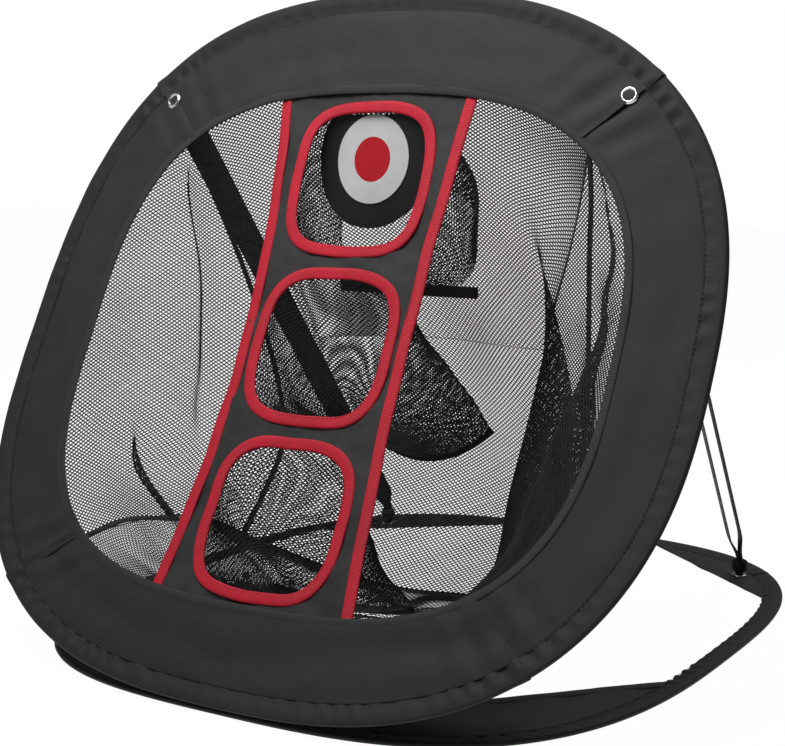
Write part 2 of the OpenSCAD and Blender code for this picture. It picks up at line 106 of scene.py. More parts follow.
def onPanel(flat, forward=0.0):
    u, v = flat[..., 0], flat[..., 1]
    up = v / panel["height"]
    bow = panel["sideBow"] * up * (2 * u / panel["width"]) ** 2 + 4 * panel["heightBow"] * up * (1 - up)
    back = bow - forward - panel["middle"]
    return np.stack([u, panel["hingeY"] + v * math.sin(lean) + back * math.cos(lean),
                     panel["hingeZ"] + v * math.cos(lean) - back * math.sin(lean)], -1)


def atHeight(plan, z):
    # Points of a ground plan, lifted to a height
    return np.concatenate([plan, np.broadcast_to(z, plan.shape[:-1])[..., None]], -1)


def mix(a, b, f):
    return a + (b - a) * f


def smooth(x, low, high):
    t = np.clip((x - low) / (high - low), 0, 1)
    return t * t * (3 - 2 * t)


def unit(p):
    return p / np.linalg.norm(p, axis=-1, keepdims=True)


def fullTurn(count):
    return np.linspace(0, 2 * math.pi, count, endpoint=False)


def ripple(points, size, seed, count=7):
    # A smooth random wave of about that wavelength, from -1 to 1
    draw = np.random.default_rng(seed)
    total = 0.0
    for _ in range(count):
        way = unit(draw.normal(size=points.shape[-1]))
        total = total + np.sin(points @ way * (2 * math.pi / size) * draw.uniform(0.6, 1.6) + draw.uniform(0, 6.28))
    return total / count * 1.7


def through(points, count):
    # A smooth line through points, evenly stepped by its own parameter
    p = np.asarray(points, float)
    p = np.concatenate([[2 * p[0] - p[1]], p, [2 * p[-1] - p[-2]]])
    t = np.linspace(0, len(p) - 3 - 1e-9, count)
    k = t.astype(int)
    f = (t - k)[:, None]
    a, b, c, d = p[k], p[k + 1], p[k + 2], p[k + 3]
    return 0.5 * (2 * b + (c - a) * f + (2 * a - 5 * b + 4 * c - d) * f ** 2 + (3 * b - a - 3 * c + d) * f ** 3)


# Making meshes
def newObject(name, mesh, material):
    piece = bpy.data.objects.new(name, mesh)
    bpy.context.scene.collection.objects.link(piece)
    if material is not None:
        mesh.materials.append(material)
    return piece


def lengthsAlong(points):
    return np.concatenate([[0], np.cumsum(np.linalg.norm(np.diff(points, axis=0), axis=1))])


def loft(name, rings, material, closed=False):
    # A closed skin through rings of points, with its UV map in metres along and around
    rings = np.asarray(rings, float)
    n, m = rings.shape[:2]
    index = np.arange(n * m).reshape(n, m)
    rows = np.arange(n if closed else n - 1)
    a, b = index[rows], index[(rows + 1) % n]
    quads = np.stack([a, np.roll(a, -1, 1), np.roll(b, -1, 1), b], -1).reshape(-1, 4)
    centres = rings.mean(1)
    along = lengthsAlong(np.concatenate([centres, centres[:1]]) if closed else centres)
    middle = rings[n // 2]
    around = lengthsAlong(np.concatenate([middle, middle[:1]]))
    u = np.stack([along[rows], along[rows], along[rows + 1], along[rows + 1]], -1)[:, None]
    v = np.stack([around[:-1], around[1:], around[1:], around[:-1]], -1)[None]
    uv = np.stack(np.broadcast_arrays(u, v), -1).reshape(-1, 4, 2)
    points = rings.reshape(-1, 3)
    p = points[quads] - points.mean(0)
    volume = (p[:, 0] * (np.cross(p[:, 1], p[:, 2]) + np.cross(p[:, 2], p[:, 3]))).sum()
    if volume < 0:
        quads, uv = quads[:, ::-1], uv[:, ::-1]
    faces = quads.tolist()
    if not closed:
        first, last = index[0][::-1].tolist(), index[-1].tolist()
        faces += [first, last] if volume >= 0 else [first[::-1], last[::-1]]
    mesh = bpy.data.meshes.new(name)
    mesh.from_pydata(points.tolist(), [], faces)
    layer = mesh.uv_layers.new(name="cloth")
    flat = np.zeros((len(mesh.loops), 2), np.float32)
    flat[:len(quads) * 4] = uv.reshape(-1, 2)
    layer.data.foreach_set("uv", flat.ravel())
    mesh.shade_smooth()
    mesh.update()
    return newObject(name, mesh, material)


def crease(piece, degrees=50):
    piece.data.set_sharp_from_angle(angle=math.radians(degrees))


def slab(name, front, back, material, closed=False):
    # A thin cloth between two grids of points, closed round its edges
    piece = loft(name, np.concatenate([front, back[:, ::-1]], 1), material, closed)
    crease(piece)
    return piece


def baked(piece):
    # The piece with its modifiers made into its mesh
    graph = bpy.context.evaluated_depsgraph_get()
    mesh = bpy.data.meshes.new_from_object(piece.evaluated_get(graph), preserve_all_data_layers=True, depsgraph=graph)
    piece.modifiers.clear()
    piece.data = mesh
    return piece


def place(piece, body, slot, *nodes):
    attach(piece, body)
    if nodes:
        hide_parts(*nodes)
    return piece


# Materials
def shader(name, colour, roughness, metallic=0.0, specular=0.5, sheen=0.0):
    material = bpy.data.materials.new(name)
    material.use_nodes = True
    principled = material.node_tree.nodes["Principled BSDF"]
    values = {"Base Color": (*colour, 1), "Roughness": roughness, "Metallic": metallic, "Sheen Tint": (1, 1, 1, 1),
              "Specular IOR Level": specular, "Sheen Weight": sheen, "Sheen Roughness": 0.45}
    for socket, value in values.items():
        principled.inputs[socket].default_value = value
    material.diffuse_color = (*colour, 1)
    return material, material.node_tree, principled


def addNode(tree, kind, **values):
    made = tree.nodes.new(kind)
    for socket, value in values.items():
        made.inputs[socket].default_value = value
    return made


def newNodes(tree, *kinds):
    return [tree.nodes.new(kind) for kind in kinds]


def wire(tree, *pairs):
    for source, target in pairs:
        tree.links.new(source, target)


def maths(tree, operation, first, second=None):
    made = addNode(tree, "ShaderNodeMath")
    made.operation = operation
    for socket, value in zip(made.inputs, (first, second)):
        if isinstance(value, (int, float)):
            socket.default_value = value
        elif value is not None:
            tree.links.new(value, socket)
    return made.outputs[0]


def wave(tree, value, pitch):
    # A sine along a coordinate, one turn to each pitch
    return maths(tree, "SINE", maths(tree, "MULTIPLY", value, 2 * math.pi / pitch))


def noise(tree, vector, scale, detail=2.0, rough=0.5):
    made = addNode(tree, "ShaderNodeTexNoise", Scale=scale, Detail=detail, Roughness=rough)
    tree.links.new(vector, made.inputs["Vector"])
    return made.outputs["Fac"]


def textured(name, colour, roughness, coordinates="Object", **values):
    # A shader with the object's own place, and the chosen coordinates apart
    material, tree, principled = shader(name, colour, roughness, **values)
    where, split = newNodes(tree, "ShaderNodeTexCoord", "ShaderNodeSeparateXYZ")
    tree.links.new(where.outputs[coordinates], split.inputs[0])
    return material, tree, principled, where.outputs["Object"], split.outputs


def tint(tree, principled, value, colour, dark, light, high=0.7):
    # The colour between a darker and a lighter shade of it, by a value
    made = addNode(tree, "ShaderNodeValToRGB")
    for element, position, share in zip(made.color_ramp.elements, (0.3, high), (dark, light)):
        element.position = position
        element.color = (*[c * share for c in colour], 1)
    wire(tree, (value, made.inputs["Fac"]), (made.outputs["Color"], principled.inputs["Base Color"]))


def roughen(tree, principled, tone, roughness, by):
    uneven = maths(tree, "ADD", maths(tree, "MULTIPLY", tone, by), roughness - by / 2)
    tree.links.new(uneven, principled.inputs["Roughness"])


def bump(tree, principled, layers):
    # Layers of (height, strength, distance), the first one deepest
    normal = None
    for height, strength, distance in layers:
        made = addNode(tree, "ShaderNodeBump", Strength=strength, Distance=distance)
        tree.links.new(height, made.inputs["Height"])
        if normal is not None:
            tree.links.new(normal, made.inputs["Normal"])
        normal = made.outputs["Normal"]
    tree.links.new(normal, principled.inputs["Normal"])


def wovenCloth(name, colour, pitch, roughness=0.62, spread=0.16, sheen=0.18, ribbed=False, depth=0.00012):
    # Woven polyester: crossing yarns on the UV map, mottled tone and soft creases
    material, tree, principled, here, axes = textured(name, colour, roughness, "UV", specular=0.32, sheen=sheen)
    warp, weft = wave(tree, axes["X"], pitch), wave(tree, axes["Y"], pitch / 0.35 if ribbed else pitch)
    if ribbed:
        weave = maths(tree, "ADD", warp, maths(tree, "MULTIPLY", weft, 0.15))
    else:
        weave = maths(tree, "MULTIPLY", warp, weft)
    tone, fine = noise(tree, here, 38, 4, 0.6), noise(tree, here, 900, 2, 0.6)
    mixed = maths(tree, "ADD", maths(tree, "MULTIPLY", tone, 0.7), maths(tree, "MULTIPLY", fine, 0.3))
    tint(tree, principled, mixed, colour, 1 - 1.6 * spread, 1 + 1.6 * spread)
    roughen(tree, principled, tone, roughness, 0.16)
    bump(tree, principled, [(noise(tree, here, 70, 3, 0.55), 0.25, 0.0016), (weave, 0.5, depth)])
    return material


def yarn(name, colour):
    material, tree, principled, here, axes = textured(name, colour, 0.55, specular=0.3, sheen=0.1)
    tint(tree, principled, noise(tree, here, 160, 2), colour, 0.7, 1.35)
    bump(tree, principled, [(noise(tree, here, 2600, 1), 0.4, 0.0001)])
    return material


def webbingCloth(name, colour):
    # Herringbone webbing: two rows of slanting ribs, on the UV map
    material, tree, principled, here, axes = textured(name, colour, 0.6, "UV", specular=0.22, sheen=0.04)
    across = maths(tree, "PINGPONG", axes["Y"], 0.0034)
    rib = wave(tree, maths(tree, "ADD", maths(tree, "MULTIPLY", across, 1.2), axes["X"]), 0.0016)
    tone = noise(tree, here, 60, 3)
    tint(tree, principled, maths(tree, "ADD", maths(tree, "MULTIPLY", rib, 0.12), tone), colour, 0.65, 1.5, 0.75)
    bump(tree, principled, [(tone, 0.15, 0.001), (rib, 0.6, 0.0003)])
    return material


def printedCloth(name, colour):
    # Screen-printed cloth: smooth ink over a fine weave
    material, tree, principled, here, axes = textured(name, colour, 0.5, specular=0.35)
    weave = maths(tree, "MULTIPLY", wave(tree, axes["X"], 0.0006), wave(tree, axes["Z"], 0.0006))
    tone = noise(tree, here, 45, 3)
    tint(tree, principled, tone, colour, 0.95, 1.05)
    bump(tree, principled, [(tone, 0.2, 0.001), (weave, 0.3, 0.00006)])
    return material


def bareMetal(name, colour, roughness):
    material, tree, principled, here, axes = textured(name, colour, roughness, metallic=1.0)
    tone = noise(tree, here, 420, 3)
    roughen(tree, principled, tone, roughness, 0.18)
    tint(tree, principled, tone, colour, 0.82, 1.0)
    bump(tree, principled, [(tone, 0.1, 0.0002)])
    return material


borderCloth = wovenCloth("border_cloth", (0.0205, 0.0190, 0.0180), 0.0011, sheen=0.07)
sleeveCloth = wovenCloth("sleeve_cloth", (0.0170, 0.0160, 0.0155), 0.0011, sheen=0.07)
stripCloth = wovenCloth("strip_cloth", (0.0235, 0.0245, 0.0240), 0.0012, spread=0.36, sheen=0.07)
discCloth = wovenCloth("disc_cloth", (0.010, 0.010, 0.011), 0.0009, roughness=0.7, sheen=0.06)
bindingTape = wovenCloth("binding_tape", (0.022, 0.022, 0.023), 0.0014, ribbed=True, depth=0.0002)
redTape = wovenCloth("red_tape", (0.56, 0.010, 0.030), 0.0014, spread=0.1, ribbed=True, sheen=0.03, depth=0.0002)
netYarn = yarn("net_yarn", (0.0075, 0.0075, 0.008))
threadBlack = yarn("black_thread", (0.012, 0.012, 0.013))
threadRed = yarn("red_thread", (0.40, 0.012, 0.03))
webbing = webbingCloth("webbing", (0.006, 0.006, 0.0065))
whitePrint = printedCloth("white_print", (0.80, 0.80, 0.81))
redPrint = printedCloth("red_print", (0.60, 0.014, 0.022))
eyeletSteel = bareMetal("eyelet_steel", (0.72, 0.73, 0.74), 0.22)
springSteel = bareMetal("spring_steel", (0.42, 0.42, 0.43), 0.3)
ferruleSteel = bareMetal("ferrule_steel", (0.60, 0.60, 0.61), 0.35)
print("materials made")


# Stitches by Geometry Nodes
def groupWith(name, inputs):
    group = bpy.data.node_groups.new(name, "GeometryNodeTree")
    group.interface.new_socket("Geometry", in_out="INPUT", socket_type="NodeSocketGeometry")
    group.interface.new_socket("Geometry", in_out="OUTPUT", socket_type="NodeSocketGeometry")
    for label, value in inputs.items():
        group.interface.new_socket(label, in_out="INPUT", socket_type="NodeSocketFloat").default_value = value
    return group, *newNodes(group, "NodeGroupInput", "NodeGroupOutput")


def finishGroup(group, out, geometry, material):
    # The end of a group: real, smooth and painted geometry
    realize, shade, paint = newNodes(group, "GeometryNodeRealizeInstances", "GeometryNodeSetShadeSmooth",
                                     "GeometryNodeSetMaterial")
    paint.inputs["Material"].default_value = material
    wire(group, (geometry, realize.inputs[0]), (realize.outputs[0], shade.inputs[0]),
         (shade.outputs[0], paint.inputs[0]), (paint.outputs[0], out.inputs[0]))
    return group


def stitchNodes(material):
    # Threads laid end to end along lines, each turned to its line and to the cloth
    group, given, out = groupWith("stitches_" + material.name, {"Pitch": 0.004, "Stitch": 0.003, "Thread": 0.0004})
    curve, resample, instance = newNodes(group, "GeometryNodeMeshToCurve", "GeometryNodeResampleCurve",
                                         "GeometryNodeInstanceOnPoints")
    size, tangent, along, upright = newNodes(group, "ShaderNodeCombineXYZ", "GeometryNodeInputTangent",
                                             *["FunctionNodeAlignRotationToVector"] * 2)
    thread = addNode(group, "GeometryNodeMeshUVSphere", Segments=4, Rings=3, Radius=0.5)
    outward = addNode(group, "GeometryNodeInputNamedAttribute", Name="outward")
    resample.mode, outward.data_type = "LENGTH", "FLOAT_VECTOR"
    along.axis, upright.axis, upright.pivot_axis = "X", "Z", "X"
    threadSize = given.outputs["Thread"]
    wire(group, (given.outputs["Geometry"], curve.inputs[0]), (curve.outputs[0], resample.inputs["Curve"]),
         (given.outputs["Pitch"], resample.inputs["Length"]), (resample.outputs[0], instance.inputs["Points"]),
         (thread.outputs[0], instance.inputs["Instance"]), (given.outputs["Stitch"], size.inputs[0]),
         (threadSize, size.inputs[1]), (threadSize, size.inputs[2]), (size.outputs[0], instance.inputs["Scale"]),
         (tangent.outputs[0], along.inputs["Vector"]), (along.outputs[0], upright.inputs["Rotation"]),
         (outward.outputs[0], upright.inputs["Vector"]), (upright.outputs[0], instance.inputs["Rotation"]))
    return finishGroup(group, out, instance.outputs[0], material)


def runNodes(piece, group, values, material):
    modifier = piece.modifiers.new("nodes", "NODES")
    modifier.node_group = group
    for item in group.interface.items_tree:
        if item.item_type == "SOCKET" and item.in_out == "INPUT" and item.name in values:
            modifier[item.identifier] = values[item.name]
    baked(piece)
    if not piece.data.materials:
        piece.data.materials.append(material)
    return piece


# Each seam's thread, body and slot, with its pitch, its stitches' length and its thread's width
seams = {"sleeve_stitches": (threadBlack, "panel", "sleeve_cloth", 0.0042, 0.0034, 0.0007),
         "window_stitches": (threadBlack, "panel", "sleeve_cloth", 0.0038, 0.0028, 0.00045),
         "red_stitches": (threadRed, "panel", "red_binding", 0.0035, 0.0026, 0.00045),
         "base_stitches": (threadBlack, "base", "sleeve_cloth", 0.0042, 0.0034, 0.0007),
         "gusset_stitches": (threadBlack, "base", "border_cloth", 0.004, 0.0031, 0.0006)}
sewn = {name: [] for name in seams}
stitchGroups = {thread.name: stitchNodes(thread) for thread in (threadBlack, threadRed)}


def makeStitches(name):
    # The stitches of one seam, along all the lines sewn for it
    thread, body, slot, *sizes = seams[name]
    lines, normals = zip(*sewn[name])
    edges, start = [], 0
    for line in lines:
        edges += [(start + k, start + k + 1) for k in range(len(line) - 1)]
        start += len(line)
    mesh = bpy.data.meshes.new(name)
    mesh.from_pydata(np.concatenate(lines).tolist(), edges, [])
    layer = mesh.attributes.new("outward", "FLOAT_VECTOR", "POINT")
    layer.data.foreach_set("vector", np.concatenate(normals).astype(np.float32).ravel())
    values = dict(zip(("Pitch", "Stitch", "Thread"), sizes))
    place(runNodes(newObject(name, mesh, None), stitchGroups[thread.name], values, thread), body, slot)


def normalsOn(flat, forward):
    # The panel's outward direction at points of it
    step = 0.0005
    a = onPanel(flat + [step, 0], forward) - onPanel(flat - [step, 0], forward)
    b = onPanel(flat + [0, step], forward) - onPanel(flat - [0, step], forward)
    return unit(np.cross(a, b))


def sewOnPanel(name, flat, forward):
    sewn[name].append((onPanel(flat, forward), normalsOn(flat, 0)))


# Panel borders and sleeves
border = {"thick": 0.0012, "sleeve": 0.018, "binding": 0.006, "steps": 190, "columns": 22, "seam": 0.0172,
          "over": 0.0006, "under": -0.0002}
sleeve = {"thick": 0.0025, "spine": 0.009, "wire": 0.0027, "edge": 0.00075, "steps": 300, "gather": 0.017,
          "laps": {"top": 1.4, "bottom": 1.2}, "flares": {"top": 0.0011, "bottom": 0.0010},
          "strengths": {"right": 0.8, "top": 0.55, "left": 0.6, "bottom": 0.8}}
mitre = panel["mitre"]
sides = {"right": (-mitre, mitre), "top": (mitre, 180 - mitre), "left": (180 - mitre, 180 + mitre),
         "bottom": (180 + mitre, 360 - mitre)}


def endCloseness(angle, ends, reach):
    gap = np.minimum(np.abs(angle - ends[0]), np.abs(angle - ends[1]))
    return 1 - smooth(gap, 0, reach)


def borderWave(side, angle, share, flat):
    # Soft folds of the border's cloth, forward of its flat place
    seed = 3 + 2 * list(sides).index(side)
    corner = endCloseness(angle, sides[side], 14)
    billow = 0.0009 * ripple(flat, 0.13, seed) + 0.00035 * ripple(flat, 0.045, seed + 20)
    fan = np.sin(angle * 1.15 + 2.2 * share + seed) * corner * 0.0011
    long = np.sin(share * 9 + ripple(flat, 0.3, seed + 40) * 2) * (0.0007 if side == "bottom" else 0.0003)
    still = np.sin(np.clip(share, 0, 1) * math.pi) ** 0.5
    return (billow + fan + long) * still


def makeBorder(side):
    low, high = sides[side]
    laps = side in ("top", "bottom")
    lap = 1.1 if laps else 0.2
    angle, share = np.linspace(low - lap, high + lap, border["steps"]), np.linspace(0, 1, border["columns"])
    a, share = np.meshgrid(angle, share, indexing="ij")
    inner = windowPoint(a, -border["binding"] + 0.0012)
    outer = panelPoint(a, border["sleeve"] - 0.0015)
    flat = mix(inner, outer, share[..., None])
    edge = endCloseness(a, (low - lap, high + lap), 1.0)
    lift = borderWave(side, a, share, flat) + border["over" if laps else "under"] + 0.0007 * edge * laps
    front, back = [onPanel(flat, lift + part * border["thick"] / 2) for part in (1, -1)]
    piece = slab(side + "_border_cloth", front, back, borderCloth)
    return place(piece, "panel", "border_cloth", side + "_border")


def fromFold(far):
    # Distances in from a sleeve's fold: close together over the wire, then on to the far edge
    return np.concatenate([np.linspace(0, 0.003, 5), np.linspace(0.0045, far, 12)])


def sleeveHalf(s, thick):
    # Half the thickness of a sleeve at a distance inside its fold
    bend, edge = sleeve["wire"], sleeve["edge"]
    rounded = np.sqrt(np.clip(1 - ((np.minimum(s, bend) - bend) / bend) ** 2, 0, 1))
    taper = 1 - smooth(s, 0.0055, 0.0165)
    return np.where(s < bend, thick * (0.18 + 0.82 * rounded), edge + (thick - edge) * taper)


def makeSleeve(side):
    low, high = sides[side]
    lap = sleeve["laps"].get(side, 0.0)
    angle = np.linspace(low - lap, high + lap, sleeve["steps"])
    s = fromFold(0.0185)
    facing = np.repeat([1.0, -1.0], len(s))
    a, inset = np.meshgrid(angle, np.concatenate([s, s[::-1]]), indexing="ij")
    spine = panelPoint(a, sleeve["spine"])
    arc = lengthsAlong(panelPoint(angle, sleeve["spine"]))[:, None]
    seed = 11 + 2 * list(sides).index(side)
    strength = sleeve["strengths"][side]
    corner = endCloseness(a, (low, high), 16)
    pucker = 0.25 + 0.75 * smooth(ripple(spine, 0.12, seed + 5), -0.2, 0.7) + 1.2 * corner
    gather = pucker * np.sin(arc * 2 * math.pi / sleeve["gather"] + 2.5 * ripple(spine, 0.09, seed))
    near = smooth(inset, 0.003, 0.012) * (1 - 0.6 * smooth(inset, 0.0165, 0.0185))
    flare = sleeve["flares"].get(side, -0.0002) * endCloseness(a, (low - lap, high + lap), 2.4)
    half = sleeveHalf(inset, sleeve["thick"]) + flare + 0.0002 * ripple(spine, 0.05, seed + 9)
    half = half + 0.00045 * strength * gather * near
    groove = 0.0006 * np.exp(-((inset - border["seam"]) / 0.0009) ** 2)
    half = np.maximum(half - groove, 0.0004)
    shift = 0.0006 * strength * gather * smooth(inset, 0.004, 0.014) * (1 - smooth(inset, 0.015, 0.0185))
    flat = panelPoint(a, inset - flare * 0.6)
    rings = onPanel(flat, facing * half + shift)
    piece = loft(side + "_sleeve_cloth", rings, sleeveCloth)
    crease(piece, 60)
    return place(piece, "panel", "sleeve_cloth", side + "_sleeve")


for side in sides:
    makeBorder(side)
    makeSleeve(side)

for ends in sides.values():
    sewOnPanel("sleeve_stitches", panelPoint(np.linspace(*ends, 160), border["seam"]), 0.0011)
makeStitches("sleeve_stitches")


def tapeRings(line, inwardWay, outwardWay, width, thick, wobble=0.0, lip=0.25):
    # A tape folded over an edge: its section is a soft-edged band
    turn = fullTurn(18)
    across = np.sign(np.cos(turn)) * np.abs(np.cos(turn)) ** 0.55
    height = np.sign(np.sin(turn)) * np.abs(np.sin(turn)) ** 0.7
    height = height * (1 - lip * (across < 0.15) * (np.sin(turn) > 0))
    centre = line + inwardWay * width / 2 + outwardWay * np.reshape(wobble, (-1, 1))
    return (centre[:, None] + inwardWay[:, None] * (across[None, :, None] * width / 2)
            + outwardWay[:, None] * (height[None, :, None] * thick / 2))


def panelTape(name, flat, inward, tape, material, closed, wobble):
    # A tape along flat points of the panel, with unit vectors towards its far edge
    line = onPanel(flat, tape["forward"])
    normal = normalsOn(flat, tape["forward"])
    across = unit(onPanel(flat + inward * 0.001, tape["forward"]) - line)
    return loft(name, tapeRings(line, across, normal, tape["width"], tape["thick"], wobble), material, closed)


windowTape = {"width": 0.0072, "thick": 0.0026, "forward": 0.0001, "seam": 0.0058, "seamForward": 0.0012}
roundWindow = np.linspace(0, 360, 420, endpoint=False)
edge = windowPoint(roundWindow)
away = unit(windowPoint(roundWindow, -0.001) - edge)
wobble = 0.0002 * ripple(edge, 0.04, 31)
piece = panelTape("window_binding_tape", edge, away, windowTape, bindingTape, True, wobble)
place(piece, "panel", "sleeve_cloth", "window_binding")
flat = windowPoint(np.append(roundWindow, 360), -windowTape["seam"])
sewOnPanel("window_stitches", flat, windowTape["seamForward"])
makeStitches("window_stitches")
print("borders and sleeves made")

# Target strip and its red bindings
strip = {"end": 0.190, "waist": 0.160, "thick": 0.0012, "lap": 0.012, "steps": 96, "rows": 9}
sideTape = {"width": 0.010, "thick": 0.0026, "forward": backOf["binding"] - 0.0009, "seams": (0.0013, 0.0087),
            "seamForward": backOf["binding"] + 0.0002}
holeTape = {"width": 0.010, "thick": 0.0030, "forward": backOf["binding"] - 0.0007, "seams": (0.0014, 0.0088),
            "seamForward": backOf["binding"] + 0.0005}


def stripHalf(v):
    f = (v - window["middle"]) / (window["height"] / 2)
    return mix(strip["waist"], strip["end"], np.minimum(1, f * f)) / 2


def windowEdge(u, side):
    inside = min(1, abs(2 * u / window["width"]))
    return window["middle"] + side * window["height"] / 2 * (1 - inside ** window["power"]) ** (1 / window["power"])


def cellEdge(low, high):
    # Points round one hole's piece of the strip, from its lower right corner
    f = np.linspace(0, 1, strip["steps"] // 4, endpoint=False)
    half = lambda v: stripHalf(v) - 0.004
    up, down, level = mix(low, high, f), mix(high, low, f), np.ones_like(f)
    sidesOf = ((half(up), up), (half(high) * (1 - 2 * f), high * level), (-half(down), down),
               (half(low) * (2 * f - 1), low * level))
    return np.concatenate([np.stack(line, -1) for line in sidesOf])


def makeStrip():
    heights = hole["heights"]
    cuts = [windowEdge(0.0, -1) - strip["lap"], (heights["bottom"] + heights["middle"]) / 2,
            (heights["middle"] + heights["top"]) / 2, windowEdge(0.0, 1) + strip["lap"]]
    points, faces = [], []
    rows, n = strip["rows"], strip["steps"]
    for k, name in enumerate(("bottom", "middle", "top")):
        outer = cellEdge(cuts[k], cuts[k + 1])
        turn = np.degrees(np.arctan2(outer[:, 1] - heights[name], outer[:, 0]))
        inner = holePoint(turn, heights[name], -0.004)
        points += [mix(inner, outer, r / (rows - 1)) for r in range(rows)]
        for r in range(rows - 1):
            start = (k * rows + r) * n
            faces += [(start + j, start + j + n, start + (j + 1) % n + n, start + (j + 1) % n) for j in range(n)]
    flat = np.concatenate(points)
    billow = 0.0011 * ripple(flat * [1.0, 0.6], 0.05, 51) + 0.0005 * ripple(flat, 0.022, 52)
    solid = onPanel(flat, backOf["strip"] - 0.0004 + np.clip(billow, -0.0016, 0.0009))
    mesh = bpy.data.meshes.new("target_strip_cloth")
    mesh.from_pydata(solid.tolist(), [], faces)
    layer = mesh.uv_layers.new(name="cloth")
    corner = np.zeros(len(mesh.loops), int)
    mesh.loops.foreach_get("vertex_index", corner)
    layer.data.foreach_set("uv", flat[corner].astype(np.float32).ravel())
    piece = newObject("target_strip_cloth", mesh, stripCloth)
    piece.modifiers.new("weld", "WELD").merge_threshold = 0.00005
    wall = piece.modifiers.new("wall", "SOLIDIFY")
    wall.thickness, wall.offset = strip["thick"], 0
    baked(piece)
    piece.data.shade_smooth()
    crease(piece, 60)
    return place(piece, "panel", "border_cloth", "target_strip")


makeStrip()

for side, sign in handed.items():
    ends = [windowEdge(strip["end"] / 2, way) + way * strip["lap"] for way in (-1, 1)]
    v = np.linspace(*ends, 130)
    flat = np.stack([sign * stripHalf(v), v], -1)
    inward = np.broadcast_to(np.array([-sign, 0.0]), flat.shape)
    wobble = 0.0005 * ripple(flat, 0.09, 61 + sign)
    flat = flat + np.stack([0.0006 * ripple(flat, 0.07, 65 + sign), np.zeros_like(v)], -1)
    piece = panelTape(side + "_strip_tape", flat, inward, sideTape, redTape, False, wobble)
    place(piece, "panel", "red_binding", side + "_strip_binding")
    for s in sideTape["seams"]:
        sewOnPanel("red_stitches", flat + inward * s, sideTape["seamForward"])

roundHole = np.linspace(0, 360, 168, endpoint=False)
for name, height in hole["heights"].items():
    flat = holePoint(roundHole, height)
    away = unit(holePoint(roundHole, height, -0.001) - flat)
    flat = flat + away * (0.0005 * ripple(flat, 0.05, 71))[:, None]
    wobble = 0.0004 * ripple(flat, 0.06, 73)
    piece = panelTape(name + "_hole_tape", flat, away, holeTape, redTape, True, wobble)
    place(piece, "panel", "red_binding", name + "_hole_binding")
    for s in holeTape["seams"]:
        sewOnPanel("red_stitches", holePoint(np.append(roundHole, 360), height, -s), holeTape["seamForward"])
makeStitches("red_stitches")
print("strip made")

# Bullseye
disc = {"size": 0.114, "ring": 0.073, "centre": 0.037, "drop": 0.041, "thick": 0.001, "ink": 0.0007,
        "aside": -0.003, "narrow": 0.945, "slant": 0.10, "cut": 0.0045, "steps": 96}
discTop = onPanel(np.array([0.0, hole["heights"]["top"] + hole["size"] / 2 + 0.005]), backOf["net"] - 0.0018)


def discPoint(x, z, forward):
    # A point of the hanging disc: x across it and z over its centre, with a slight curl
    half = disc["size"] / 2
    curl = 0.0030 * (np.clip(-z, 0, 1) / half) ** 2 * np.sin(x * 28 + 0.6) + 0.0040 * (x / half) ** 2
    out = forward - curl * smooth(disc["drop"] - z, 0, 0.05)
    return np.stack([x, discTop[1] - out, discTop[2] + z - disc["drop"]], -1)


def discPatch(name, inner, outer, low, high, material, slot, node, trim=1.0):
    # A round patch of the disc between two radii, drawn askew by its sewing
    turn = fullTurn(disc["steps"])[:, None]
    r = np.linspace(inner, outer, 14)[None]
    x, z = r * np.cos(turn), r * np.sin(turn)
    x = x * disc["narrow"] + z * disc["slant"] + disc["aside"]
    z = np.minimum(z, trim)
    place(slab(name, discPoint(x, z, high), discPoint(x, z, low), material, closed=True), "target_flap", slot, node)


hub, rim, ring = 0.0004, disc["size"] / 2, disc["ring"] / 2
inkLow, inkHigh = disc["thick"] - 0.0002, disc["thick"] + disc["ink"]
discPatch("target_disc_cloth", hub, rim, 0, disc["thick"], discCloth, "black_cloth", "target_disc",
          disc["drop"] - disc["cut"])
discPatch("target_ring_print", disc["centre"] / 2, ring, inkLow, inkHigh, whitePrint, "white_print", "target_ring")
discPatch("target_centre_print", hub, disc["centre"] / 2, inkLow, inkHigh, redPrint, "red_print", "target_centre")
print("bullseye made")

